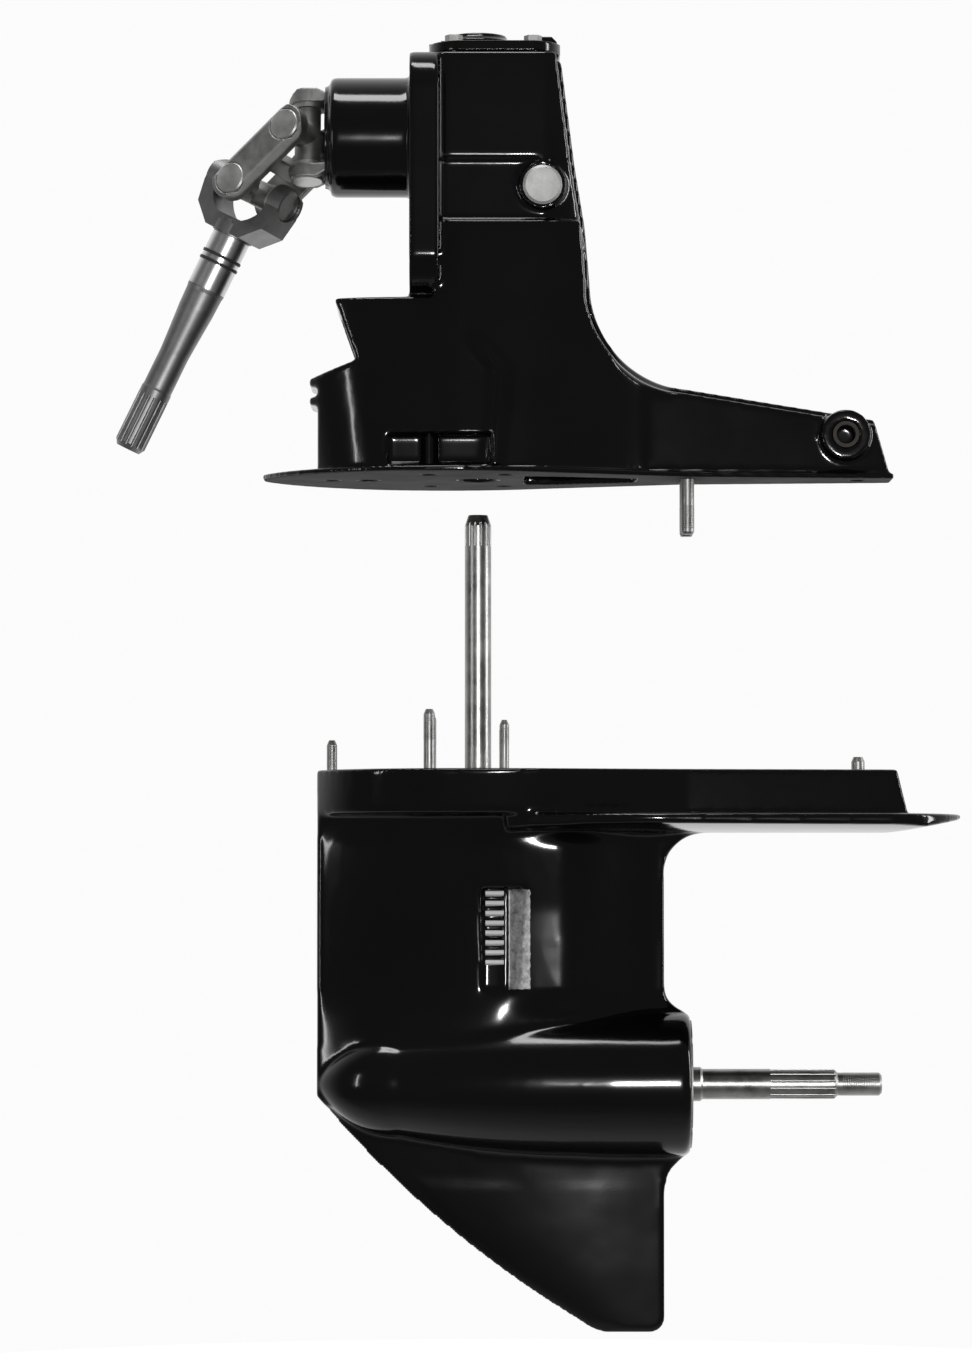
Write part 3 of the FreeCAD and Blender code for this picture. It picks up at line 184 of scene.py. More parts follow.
BLACK, GLOSS, PRIMER_ROUGHNESS = 0.0022, 0.115, 0.75


def enamel(name, shade, gloss):
    """Sprayed black paint; gloss is its roughness."""
    finish = Finish(name)
    tone = finish.noise(9, 4)
    swell = finish.noise(14, 2, 0.4)
    peel = finish.noise(700, 2, 0.5)
    speck = finish.noise(30, 3, 0.5)
    normal = finish.bump(swell, 0.0012, 0.5)
    normal = finish.bump(peel, 0.00004, 0.25, normal)
    finish.set(
        Base_Color=finish.ramp(tone, (shade * 0.7,) * 3 + (1,), (shade * 1.4,) * 3 + (1,), 0.3, 0.7),
        Roughness=finish.ramp(speck, gloss * 0.95, gloss * 1.1, 0.3, 0.7),
        Normal=normal, IOR=1.42)
    return finish


black_enamel = enamel("black_enamel", BLACK, GLOSS).material
print("made", black_enamel.name)

# %% [markdown]
# ## Enamel with a painted highlight on the ramp
# The ramp behind the intake catches the light, and that highlight is painted: a patch of bright grey
# metal in the enamel.  A box in Object coordinates says where, and a noise moves its edge a little, so
# that the border is ragged.  Paint and metal share one material, because they share one casting.

# %% Enamel with a painted highlight

PAINTED_HIGHLIGHT_SPAN = {"X": (0.0825, 0.1005), "Z": (-0.7165, -0.6335)}
RAGGED_BORDER = 0.003
HIGHLIGHT_ROUGHNESS = 0.5


def enamel_with_painted_highlight(name, shade, gloss, span):
    """The enamel, with a painted highlight of bright bare metal where both coordinates lie in the span."""
    finish = enamel(name, shade, gloss)
    border = finish.math("MULTIPLY", finish.math("SUBTRACT", finish.noise(260, 4, 0.7), 0.5), RAGGED_BORDER)
    spot = finish.node("ShaderNodeSeparateXYZ")
    finish.join(finish.place, spot.inputs["Vector"])
    inside = []
    for axis, (low, high) in span.items():
        moved = finish.math("ADD", spot.outputs[axis], border)
        inside.append(finish.math("MULTIPLY", finish.math("GREATER_THAN", moved, low),
                                  finish.math("LESS_THAN", moved, high)))
    # the mask of the painted highlight: bright grey metal inside the span, where the ramp catches the light
    bare = finish.math("MULTIPLY", *inside)
    metal = finish.ramp(finish.noise(180, 5, 0.7), 0.10, 0.42, 0.3, 0.7)
    mixed = finish.node("ShaderNodeMixRGB")
    finish.join(bare, mixed.inputs["Fac"])
    finish.join(finish.shader.inputs["Base Color"].links[0].from_socket, mixed.inputs["Color1"])
    finish.join(metal, mixed.inputs["Color2"])
    return finish.set(Base_Color=mixed.outputs["Color"], Metallic=bare,
                      Roughness=finish.ramp(bare, gloss, HIGHLIGHT_ROUGHNESS))


# the gearcase's enamel, with the ramp's highlight painted in as bright grey metal
gearcase_enamel_with_painted_highlight = enamel_with_painted_highlight("gearcase_enamel_with_painted_highlight", BLACK, GLOSS, PAINTED_HIGHLIGHT_SPAN)
black_primer = enamel("black_primer", BLACK, PRIMER_ROUGHNESS).material
print("made", gearcase_enamel_with_painted_highlight.name, "and", black_primer.name)

# %% [markdown]
# ## Steel in its different states
# The joint's forgings keep the dull grey of the furnace; shafts are turned and ground, which leaves
# fine rings round them; studs are zinc plated; the plug is bare turned aluminium.  One function makes
# them all, from how bright and how smooth the metal is and along which direction its rings lie.

# %% Steel


def steel(name, shade, smooth, rings=None, grain=0.00006, mottle=0.35):
    """rings stretches a fine noise: large along the axis of turning and small across it."""
    finish = Finish(name)
    cloud = finish.noise(55, 5, 0.6)
    grit = finish.noise(900, 3, 0.6)
    normal = finish.bump(grit, grain, 0.6)
    if rings:
        lines = finish.noise(1.0, 2, 0.6, finish.stretched(rings))
        normal = finish.bump(lines, 0.00004, 0.5, normal)
    low, high = shade * (1 - mottle), shade * (1 + mottle)
    return finish.set(
        Base_Color=finish.ramp(cloud, (low, low, low * 0.98, 1), (high, high, high * 0.98, 1), 0.3, 0.7),
        Metallic=1.0,
        Roughness=finish.ramp(cloud, smooth * 0.8, smooth * 1.25, 0.3, 0.75),
        Normal=normal)


forged_steel = steel("forged_steel", 0.27, 0.52, grain=0.00018, mottle=0.22)
cup_steel = steel("cup_steel", 0.52, 0.46, mottle=0.12)
upright_steel = steel("upright_turned_steel", 0.30, 0.34, rings=(40, 40, 3200))
long_steel = steel("lengthwise_turned_steel", 0.30, 0.34, rings=(3200, 40, 40))
polished_steel = steel("polished_steel", 0.50, 0.25, mottle=0.1)
zinc_plate = steel("zinc_plate", 0.30, 0.42, mottle=0.25)
turned_alloy = steel("turned_alloy", 0.42, 0.55, mottle=0.12)
print("made seven steels")

# %% [markdown]
# ## The input shaft's polished lands
# Where the coupling's seal runs, the input shaft is ground bright; the rest keeps the grey of the
# lathe.  The shaft lies at an angle, so a Mapping node first turns the pattern until its X runs down
# the shaft, and a ramp along that X then tells the two finishes apart.

# %% Banded shaft steel

COUPLER = next(mount for mount in frame["record"]["mounts"] if mount["name"] == "engine_coupler_spline")
SHAFT_WAY = Vector(COUPLER["axis"])
TIP_FROM_JOINT = 0.243
LAND_START, LAND_END = 0.044, 0.092


def banded_steel(name):
    finish = Finish(name)
    joint_centre = Vector(COUPLER["pos_m"]) - SHAFT_WAY * TIP_FROM_JOINT
    facing = SHAFT_WAY.to_track_quat("X", "Z")
    mapping = finish.node("ShaderNodeMapping", vector_type="TEXTURE")
    mapping.inputs["Location"].default_value = joint_centre
    mapping.inputs["Rotation"].default_value = facing.to_euler()
    finish.join(finish.place, mapping.inputs["Vector"])
    along = finish.node("ShaderNodeSeparateXYZ")
    finish.join(mapping.outputs["Vector"], along.inputs["Vector"])
    length = along.outputs["X"]
    land = finish.math("MULTIPLY", finish.math("GREATER_THAN", length, LAND_START),
                       finish.math("LESS_THAN", length, LAND_END))
    cloud = finish.noise(70, 5, 0.6)
    streaks = finish.node("ShaderNodeTexNoise")
    streaks.inputs["Scale"].default_value = 1.0
    stretched = finish.node("ShaderNodeVectorMath", operation="MULTIPLY")
    stretched.inputs[1].default_value = (2600, 60, 60)
    finish.join(mapping.outputs["Vector"], stretched.inputs[0])
    finish.join(stretched.outputs["Vector"], streaks.inputs["Vector"])
    shade = finish.math("ADD", finish.math("MULTIPLY", cloud, 0.3), finish.math("MULTIPLY", land, 0.7))
    return finish.set(
        Base_Color=finish.ramp(shade, 0.20, 0.66, 0.08, 0.9), Metallic=1.0,
        Roughness=finish.ramp(land, 0.46, 0.30),
        Normal=finish.bump(streaks.outputs["Fac"], 0.00004, 0.5))


shaft_steel = banded_steel("banded_shaft_steel")
print("polished land from", LAND_START, "to", LAND_END, "m along the shaft")

# %% [markdown]
# ## Rubber, bronze and plain paint for what is hardly seen
# Seals, bushings and the pump sit deep in the bores.  They get quieter finishes of the same kit.

# %% Other finishes


def plain(name, colour, smooth, metallic=0.0):
    finish = Finish(name)
    cloud = finish.noise(120, 4, 0.6)
    grit = finish.noise(1400, 2, 0.5)
    dark = tuple(channel * 0.75 for channel in colour) + (1,)
    light = tuple(channel * 1.2 for channel in colour) + (1,)
    return finish.set(
        Base_Color=finish.ramp(cloud, dark, light, 0.3, 0.7), Metallic=metallic,
        Roughness=finish.ramp(cloud, smooth * 0.85, min(smooth * 1.15, 1.0), 0.3, 0.7),
        Normal=finish.bump(grit, 0.00005, 0.5))


# a bright grey alloy for the intake's slats: a painted highlight for the light that their sloping tops
# catch
slat_highlight_alloy = steel("slat_highlight_alloy", 0.34, 0.5, grain=0.0003, mottle=0.5)
seal_rubber = plain("seal_rubber", (0.02, 0.02, 0.02), 0.6)
bearing_bronze = plain("bearing_bronze", (0.05, 0.045, 0.04), 0.6, 1.0)
pump_plastic = plain("pump_plastic", (0.03, 0.03, 0.032), 0.45)
print("made the quiet finishes")

# %% [markdown]
# ## Give every CAD node its finish
# The nodes arrive with flat colours.  The record says which slot each node belongs to, so one table
# from slot to finish covers them all, and the shafts are then picked out by the way they lie.

# %% Finish the nodes

FINISH_OF_SLOT = {
    "black_paint": black_enamel, "shaft_steel": upright_steel, "yoke_steel": forged_steel,
    "gear_steel": forged_steel, "bearing_steel": polished_steel, "plated_steel": zinc_plate,
    "bare_aluminium": turned_alloy, "bronze": bearing_bronze, "seal_rubber": seal_rubber,
    "pump_plastic": pump_plastic, "gasket": seal_rubber,
}
SLOT_OF_NODE = {row["node"]: row["material_slot"] for row in frame["record"]["subparts"]}
FINISH_OF_NODE = {
    "propeller_shaft": long_steel, "pinion_shaft": long_steel, "shift_plunger": long_steel,
    "centre_yoke_cups": cup_steel, "input_yoke_cups": cup_steel, "shaft_yoke_cups": cup_steel,
    "input_shaft": shaft_steel,
}
for node, piece in frame["nodes"].items():
    material = FINISH_OF_NODE.get(node, FINISH_OF_SLOT[SLOT_OF_NODE[node]])
    piece.data.materials.clear()
    piece.data.materials.append(material)
print(len(frame["nodes"]), "nodes finished")

# %% [markdown]
# ## Castings with cast edges
# The CAD's edges are knife sharp, but sand will not hold a sharp edge and the pattern maker puts a
# fillet in every corner.  A bevel would trip over the many small faces that the bores leave.  So a
# merged copy of each casting is remeshed into small even cells and then smoothed, which rounds the
# outer edges and fills the inner corners together.  The decimation at the end takes back the cells
# that the flat walls do not need.

# %% Soften the castings


def plain_mesh(piece, name):
    """The evaluated shape of an object as a new object with no modifiers."""
    graph = bpy.context.evaluated_depsgraph_get()
    mesh = bpy.data.meshes.new_from_object(piece.evaluated_get(graph))
    bpy.data.objects.remove(piece)
    mesh.name = name
    made = bpy.data.objects.new(name, mesh)
    SCENE.collection.objects.link(made)
    return made


def merged_copy(name, node):
    """A CAD node's mesh as a new object, with the corners of its loose triangles joined."""
    mesh = frame["nodes"][node].data.copy()
    shape = bmesh.new()
    shape.from_mesh(mesh)
    bmesh.ops.remove_doubles(shape, verts=shape.verts, dist=1e-6)
    shape.to_mesh(mesh)
    shape.free()
    made = bpy.data.objects.new(name, mesh)
    SCENE.collection.objects.link(made)
    return made


print("mesh helpers ready")

# %% [markdown]
# ## Soften a region, then the whole
# A casting's fillets are not all one size: the torpedo's is broad, a boss's is small.  Smoothing a
# region harder than the rest gives the broad ones, and a soft edge to the region hides the join.

# %% Softening

REGION_EDGE_X, REGION_EDGE_Z = 10, 6


def fade(value, low, high, edge):
    """1 between low and high, falling smoothly to 0 over an edge on either side."""
    inside = min((value - low) / edge, (high - value) / edge) + 1
    inside = max(0.0, min(1.0, inside))
    return inside * inside * (3 - 2 * inside)


def smooth_region(piece, region, passes):
    """Smooth only the vertices in a box: this is the fillet that the pattern maker adds by hand."""
    group = piece.vertex_groups.new(name="region")
    for vertex in piece.data.vertices:
        x, y, z = vertex.co / MM
        weight = fade(x, *region["x"], REGION_EDGE_X) * fade(z, *region["z"], REGION_EDGE_Z)
        if weight > 0:
            group.add([vertex.index], weight, "REPLACE")
    blend = piece.modifiers.new("region", "SMOOTH")
    blend.factor = 0.5
    blend.iterations = passes
    blend.vertex_group = group.name


def soften(name, node, cell, passes, share, material, body, fillets=(), reshape=None):
    """Stand a remeshed, smoothed copy in for a CAD node."""
    draft = merged_copy(name + "_draft", node)
    skin = draft.modifiers.new("skin", "REMESH")
    skin.mode = "VOXEL"
    skin.voxel_size = cell
    skin.use_smooth_shade = True
    piece = plain_mesh(draft, name + "_cells")
    if reshape:
        reshape(piece.data)
    blend = piece.modifiers.new("blend", "SMOOTH")
    blend.factor = 0.5
    blend.iterations = passes
    for region, region_passes in fillets:
        smooth_region(piece, region, region_passes)
        piece = plain_mesh(piece, name + "_cells")
    if share < 1:
        thin = piece.modifiers.new("thin", "DECIMATE")
        thin.ratio = share
    piece = plain_mesh(piece, name)
    piece.data.materials.clear()
    piece.data.materials.append(material)
    piece.data.polygons.foreach_set("use_smooth", [True] * len(piece.data.polygons))
    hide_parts(node)
    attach(piece, body)
    piece.data.calc_loop_triangles()
    print(name, len(piece.data.loop_triangles), "triangles")
    return piece


print("softening ready")

# %% [markdown]
# ## The strut's own curve
# The CAD draws the strut with two arcs that meet at its widest place.  The pattern is one smooth
# curve instead, fullest a little behind the driveshaft, so a soft vertical light runs down it there.
# The outer skin is moved in or out by the ratio between the two curves.

# %% Reshape the strut

NOSE_X, TAIL_X = -78.0, 213.0
NOSE_HALF, FULL_HALF, TAIL_HALF = 2.5, 42.0, 6.5
DRAWN_FULL_X, TRUE_FULL_X = 75.0, 123.0
DRAWN_TAIL_RADIUS = 650.0
STRUT_SPAN_Z = (-716, -600)


def nose_curve(x, full_x):
    """Half the width ahead of the fullest place: an arc that is level where it ends."""
    run, rise = full_x - NOSE_X, FULL_HALF - NOSE_HALF
    radius = (run * run + rise * rise) / (2 * rise)
    return FULL_HALF - radius + math.sqrt(radius * radius - (full_x - x) ** 2)


def drawn_half(x):
    if x < DRAWN_FULL_X:
        return nose_curve(x, DRAWN_FULL_X)
    run, drop = TAIL_X - DRAWN_FULL_X, FULL_HALF - TAIL_HALF
    along = (x - DRAWN_FULL_X) / run
    bulge = (run * run + drop * drop) / (2 * DRAWN_TAIL_RADIUS) * along * (1 - along)
    return FULL_HALF - drop * along + bulge


def true_half(x):
    if x < TRUE_FULL_X:
        return nose_curve(x, TRUE_FULL_X)
    turn = math.pi * (x - TRUE_FULL_X) / (TAIL_X - TRUE_FULL_X)
    return TAIL_HALF + (FULL_HALF - TAIL_HALF) * (1 + math.cos(turn)) / 2


def reshape_strut(mesh):
    moved = 0
    for vertex in mesh.vertices:
        x, y, z = vertex.co / MM
        if not NOSE_X + 4 < x < TAIL_X - 1:
            continue
        half = drawn_half(x)
        share = fade(z, *STRUT_SPAN_Z, 30) * fade(abs(y), 0.86 * half, 1.2 * half, 4)
        if share > 0:
            vertex.co.y *= 1 + share * (true_half(x) / half - 1)
            moved += 1
    print("strut skin points moved:", moved)


print("strut fullest at x", TRUE_FULL_X, "mm, half width", FULL_HALF)

# %% [markdown]
# ## The skeg's crown
# The skeg is a thin fin, crowned from a fine front edge to a blunter rear one.  Remeshing leaves
# small dents in so thin a wall, which show in gloss paint, so its skin is laid on the crown's own rule.

# %% Smooth the skeg

SKEG_TIP_Z, SKEG_ROOT_Z = -1003.0, -872.0
SKEG_REAR_X = 213.0
SKEG_FRONT_X, SKEG_RAKE, SKEG_BEND = 152, -1.64, 0.00246
SKEG_FULL_TIP, SKEG_FULL_GROWTH = 3.2, 0.0248
SKEG_EDGE_FRONT, SKEG_EDGE_GROWTH = 1.4, 1.2
SKEG_WIDEST, SKEG_MARGIN = 11, 6


def skeg_half(x, z):
    """Half the thickness, and how far back along the chord this is, from 0 to 1."""
    up = z - SKEG_TIP_Z
    front = SKEG_FRONT_X + SKEG_RAKE * up + SKEG_BEND * up * up
    along = (x - front) / (SKEG_REAR_X - front)
    edge = SKEG_EDGE_FRONT + SKEG_EDGE_GROWTH * along
    full = SKEG_FULL_TIP + SKEG_FULL_GROWTH * up
    return edge + (full - edge) * (1 - (2 * along - 1) ** 2), along


def reshape_skeg(mesh):
    moved = 0
    for vertex in mesh.vertices:
        x, y, z = vertex.co / MM
        if abs(y) > SKEG_WIDEST or not SKEG_TIP_Z + SKEG_MARGIN < z < SKEG_ROOT_Z:
            continue
        half, along = skeg_half(x, z)
        if abs(y) > 0.6 * half and 0.09 < along and x < SKEG_REAR_X - 5:
            share = fade(z, SKEG_TIP_Z + SKEG_MARGIN, SKEG_ROOT_Z - 14, 14)
            vertex.co.y += share * (math.copysign(half, y) * MM - vertex.co.y)
            moved += 1
    print("skeg skin points moved:", moved)


print("skeg's fullest half thickness", round(skeg_half(130, SKEG_ROOT_Z)[0], 1), "mm at its root")

# %% [markdown]
# ## The crest on the housing's side
# Below the belt the housing's side swells over the oil passage into a low, rounded crest, which
# leans aft and then runs down to the plate.  It is only a few millimetres proud, so the remeshed
# skin is pushed out along one bent line; a separate rib would leave a hard seam.

# %% Raise the crest

CREST_LINE = ((-168, 50), (-188, 62), (-204, 76), (-236, 75), (-283, 69))
CREST_HEIGHT, CREST_WIDTH, CREST_RUN_OUT = 4.2, 6.5, 24


def crest_x(z):
    """Where the crest's line is at a height, in millimetres."""
    for (upper_z, upper_x), (lower_z, lower_x) in zip(CREST_LINE, CREST_LINE[1:]):
        if lower_z <= z <= upper_z:
            return upper_x + (lower_x - upper_x) * (upper_z - z) / (upper_z - lower_z)


def raise_crest(mesh):
    top, foot = CREST_LINE[0][0], CREST_LINE[-1][0]
    # the normals are read first, because moving a vertex makes Blender work them all out again
    side = [vertex for vertex in mesh.vertices if abs(vertex.normal.y) > 0.75]
    moved = 0
    for vertex in side:
        x, y, z = vertex.co / MM
        if abs(y) < 30 or not foot <= z <= top:
            continue
        off = (x - crest_x(z)) / CREST_WIDTH
        rise = CREST_HEIGHT * math.exp(-off * off) * fade(z, foot - 30, top - CREST_RUN_OUT, CREST_RUN_OUT)
        vertex.co.y += math.copysign(rise, y) * MM
        moved += 1
    print("skin points on the crest's side:", moved)


print("crest", CREST_HEIGHT, "mm proud")

# %% [markdown]
# ## Room for the studs
# When the gearcase comes up, its studs enter the housing, and the housing's studs enter the gearcase.
# Remeshing and smoothing close a narrow bore a little, so each bore is reamed out before that: its
# skin is moved back to a slightly wider, slightly deeper cylinder.

# %% Ream the bores

BASE_Z, DECK_Z = -290.0, -533.4
RIM_LEFT = 2
HOUSING_BORES = [
    ((16.8, -61), 7.2, 54), ((16.8, 61), 7.2, 54), ((79, -61), 7.2, 45), ((79, 61), 7.2, 45),
    ((-65.5, 0), 7.0, 32), ((376, 0), 7.5, 18)]
GEARCASE_BORES = [((232.7, -15), 8.0, -49), ((232.7, 15), 8.0, -49)]


def ream(mesh, bores, mouth):
    """Move skin that lies inside a bore out to the bore's wall or its end, whichever is nearer."""
    deepest = max(abs(depth) for _, _, depth in bores)
    near = [vertex for vertex in mesh.vertices if abs(vertex.co.z / MM - mouth) < deepest]
    moved = 0
    for (bore_x, bore_y), radius, depth in bores:
        for vertex in near:
            x, y, z = vertex.co / MM
            distance = math.hypot(x - bore_x, y - bore_y)
            left = (mouth + depth - z) / math.copysign(1, depth)
            gone = abs(depth) - left
            if distance >= radius or gone <= RIM_LEFT or left < 0:
                continue
            if left < radius - distance:
                vertex.co.z = (mouth + depth) * MM
            else:
                share = radius / max(distance, 0.1)
                vertex.co.x = (bore_x + (x - bore_x) * share) * MM
                vertex.co.y = (bore_y + (y - bore_y) * share) * MM
            moved += 1
    print("skin points reamed:", moved)


def reshape_upper(mesh):
    raise_crest(mesh)
    ream(mesh, HOUSING_BORES, BASE_Z)


def reshape_lower(mesh):
    reshape_strut(mesh)
    reshape_skeg(mesh)
    ream(mesh, GEARCASE_BORES, DECK_Z)


print(len(HOUSING_BORES) + len(GEARCASE_BORES), "bores to ream")

# %% [markdown]
# ## The three castings
# Each casting is softened with the cell its size allows.  The regions are the broad fillets: the tail
# into the housing, the strut into the torpedo, the skeg into the torpedo, and the deck and the plate
# into the strut.

# %% Castings

TAIL_ROOT = {"x": (178, 214), "z": (-275, -165)}
STRUT_SIDE = {"x": (104, 205), "z": (-672, -628)}
TORPEDO_TOP = {"x": (-70, 215), "z": (-762, -722)}
TORPEDO_FOOT = {"x": (60, 215), "z": (-872, -848)}
DECK_FOOT = {"x": (-72, 96), "z": (-586, -556)}
PLATE_ROOT = {"x": (104, 215), "z": (-604, -584)}
upper_casting = soften("upper_casting", "driveshaft_housing", 1.8 * MM, 8, 0.42, black_enamel,
                       "upper_housing", [(TAIL_ROOT, 60)], reshape_upper)
soften("lower_casting", "gear_housing", 1.8 * MM, 8, 0.40, gearcase_enamel_with_painted_highlight, "gearcase",
       [(TORPEDO_TOP, 90), (TORPEDO_FOOT, 30), (DECK_FOOT, 25), (PLATE_ROOT, 40), (STRUT_SIDE, 60)],
       reshape_lower)
soften("cover_casting", "top_cover", 1.0 * MM, 3, 0.6, black_enamel, "upper_housing")

# %% [markdown]
# ## Bare joint faces
# The faces that meet when the drive is closed are masked while the enamel is sprayed, and keep only
# the flat primer.  A second material slot on the faces that look straight down does that.

# %% Primer on the mating face


def refinish(piece, material, wanted):
    """Give the faces that pass a test another finish."""
    piece.data.materials.append(material)
    slot = len(piece.data.materials) - 1
    changed = 0
    for face in piece.data.polygons:
        if wanted(face.center / MM, face.normal):
            face.material_index = slot
            changed += 1
    print(piece.name, changed, "faces in", material.name)


UPPER_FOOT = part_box("driveshaft_housing")[0].z / MM
refinish(upper_casting, black_primer,
         lambda spot, normal: normal.z < -0.9 and abs(spot.z - UPPER_FOOT) < 4)

# %% [markdown]
# ## The cooling intake
# Water is scooped in through a row of slots on each side of the strut.  Remeshing rounds the slots
# away, so crisp slats are laid over the bars that are left.  They are one slat repeated down a line,
# which is a job for Geometry Nodes.  Every tree starts and ends the same way, so that comes first.

# %% Tree helpers


def new_tree(name, inputs):
    """An empty geometry tree with named number inputs and one material input."""
    tree = bpy.data.node_groups.new(name, "GeometryNodeTree")
    tree.interface.new_socket("Geometry", in_out="OUTPUT", socket_type="NodeSocketGeometry")
    for label, kind in inputs.items():
        tree.interface.new_socket(label, in_out="INPUT", socket_type=kind)
    return tree


def add(tree, kind, **settings):
    made = tree.nodes.new(kind)
    for key, value in settings.items():
        setattr(made, key, value)
    return made


def calculate(tree, operation, first, second):
    made = add(tree, "ShaderNodeMath", operation=operation)
    for socket, value in zip(made.inputs, (first, second)):
        if isinstance(value, (int, float)):
            socket.default_value = value
        else:
            tree.links.new(value, socket)
    return made.outputs[0]


def finish_tree(tree, geometry, material):
    """Realize the copies, set the finish and send them out."""
    real = add(tree, "GeometryNodeRealizeInstances")
    coat = add(tree, "GeometryNodeSetMaterial")
    shade = add(tree, "GeometryNodeSetShadeSmooth")
    out = add(tree, "NodeGroupOutput")
    join = tree.links.new
    join(geometry, real.inputs["Geometry"])
    join(real.outputs["Geometry"], coat.inputs["Geometry"])
    join(material, coat.inputs["Material"])
    join(coat.outputs["Geometry"], shade.inputs["Geometry"])
    join(shade.outputs["Geometry"], out.inputs["Geometry"])


def grow(name, tree, values):
    """Run a tree with these inputs and keep the result as a plain mesh object."""
    seed = bpy.data.objects.new(name + "_seed", bpy.data.meshes.new(name + "_seed"))
    SCENE.collection.objects.link(seed)
    modifier = seed.modifiers.new("tree", "NODES")
    modifier.node_group = tree
    identifier = {item.name: item.identifier for item in tree.interface.items_tree
                  if item.in_out == "INPUT"}
    for label, value in values.items():
        modifier[identifier[label]] = value
    return plain_mesh(seed, name)


def join_pieces(name, pieces, body):
    """Join plain meshes that ride on one body into one piece."""
    shape = bmesh.new()
    for piece in pieces:
        shape.from_mesh(piece.data)
    mesh = bpy.data.meshes.new(name)
    shape.to_mesh(mesh)
    shape.free()
    mesh.materials.append(pieces[0].data.materials[0])
    for piece in pieces:
        bpy.data.objects.remove(piece)
    joined = bpy.data.objects.new(name, mesh)
    SCENE.collection.objects.link(joined)
    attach(joined, body)
    mesh.calc_loop_triangles()
    print(name, len(mesh.loop_triangles), "triangles")


print("tree helpers ready")

# %% [markdown]
# ## One slat, repeated
# A rounded section is swept along the bar's length, which makes one slat.  A line of points goes down
# the strut at the pitch of the slots, and a copy that leans with the slot stands on each point.

# %% Slat tree

NUMBER, COUNT = "NodeSocketFloat", "NodeSocketInt"
PLACE, FINISH = "NodeSocketVector", "NodeSocketMaterial"


def slat_tree():
    """A row of rounded slats that lean about X, going down from a first place."""
    tree = new_tree("slat_row", {
        "Slats": COUNT, "Pitch": NUMBER, "Length": NUMBER, "Depth": NUMBER, "Thickness": NUMBER,
        "Lean": NUMBER, "First": PLACE, "Finish": FINISH})
    given = add(tree, "NodeGroupInput").outputs
    join = tree.links.new
    down = add(tree, "ShaderNodeCombineXYZ")
    join(calculate(tree, "MULTIPLY", given["Pitch"], -1), down.inputs["Z"])
    row = add(tree, "GeometryNodeMeshLine")
    join(given["Slats"], row.inputs["Count"])
    join(given["First"], row.inputs["Start Location"])
    join(down.outputs["Vector"], row.inputs["Offset"])
    half = add(tree, "ShaderNodeCombineXYZ")
    join(calculate(tree, "MULTIPLY", given["Length"], 0.5), half.inputs["X"])
    back = add(tree, "ShaderNodeCombineXYZ")
    join(calculate(tree, "MULTIPLY", given["Length"], -0.5), back.inputs["X"])
    bar = add(tree, "GeometryNodeCurvePrimitiveLine")
    join(back.outputs["Vector"], bar.inputs["Start"])
    join(half.outputs["Vector"], bar.inputs["End"])
    section = add(tree, "GeometryNodeCurvePrimitiveQuadrilateral")
    join(given["Depth"], section.inputs["Width"])
    join(given["Thickness"], section.inputs["Height"])
    rounded = add(tree, "GeometryNodeFilletCurve", mode="POLY")
    rounded.inputs["Count"].default_value = 3
    join(section.outputs["Curve"], rounded.inputs["Curve"])
    join(calculate(tree, "MULTIPLY", given["Thickness"], 0.35), rounded.inputs["Radius"])
    swept = add(tree, "GeometryNodeCurveToMesh")
    swept.inputs["Fill Caps"].default_value = True
    join(bar.outputs["Curve"], swept.inputs["Curve"])
    join(rounded.outputs["Curve"], swept.inputs["Profile Curve"])
    lean = add(tree, "ShaderNodeCombineXYZ")
    join(given["Lean"], lean.inputs["X"])
    copies = add(tree, "GeometryNodeInstanceOnPoints")
    join(row.outputs["Mesh"], copies.inputs["Points"])
    join(swept.outputs["Mesh"], copies.inputs["Instance"])
    join(lean.outputs["Vector"], copies.inputs["Rotation"])
    finish_tree(tree, copies.outputs["Instances"], given["Finish"])
    return tree


SLATS, SLAT_PITCH = 8, 8.2
SLAT_LENGTH, SLAT_DEPTH, SLAT_THICKNESS = 15.4, 6, 3.4
SLAT_X, SLAT_Y, FIRST_SLAT_Z = 0.071, 0.0338, -637.2
SLAT_LEAN = math.atan2(11, 26)
slats = slat_tree()
slat_rows = []
# the slats wear the bright alloy, a painted highlight for the light on their sloping tops
for side in (-1, 1):
    slat_rows.append(grow("slats", slats, {
        "Slats": SLATS, "Pitch": SLAT_PITCH * MM, "Length": SLAT_LENGTH * MM, "Depth": SLAT_DEPTH * MM,
        "Thickness": SLAT_THICKNESS * MM, "Lean": side * SLAT_LEAN,
        "First": (SLAT_X, side * SLAT_Y, FIRST_SLAT_Z * MM), "Finish": slat_highlight_alloy}))
join_pieces("intake_slats", slat_rows, "gearcase")

# %% [markdown]
# ## Threads
# The studs and the end of the propeller shaft are threaded.  A thread is one helix whatever its size,
# so one tree grows a ridge along a spiral, and each stud asks for its own radius, length and pitch.

# %% Thread tree


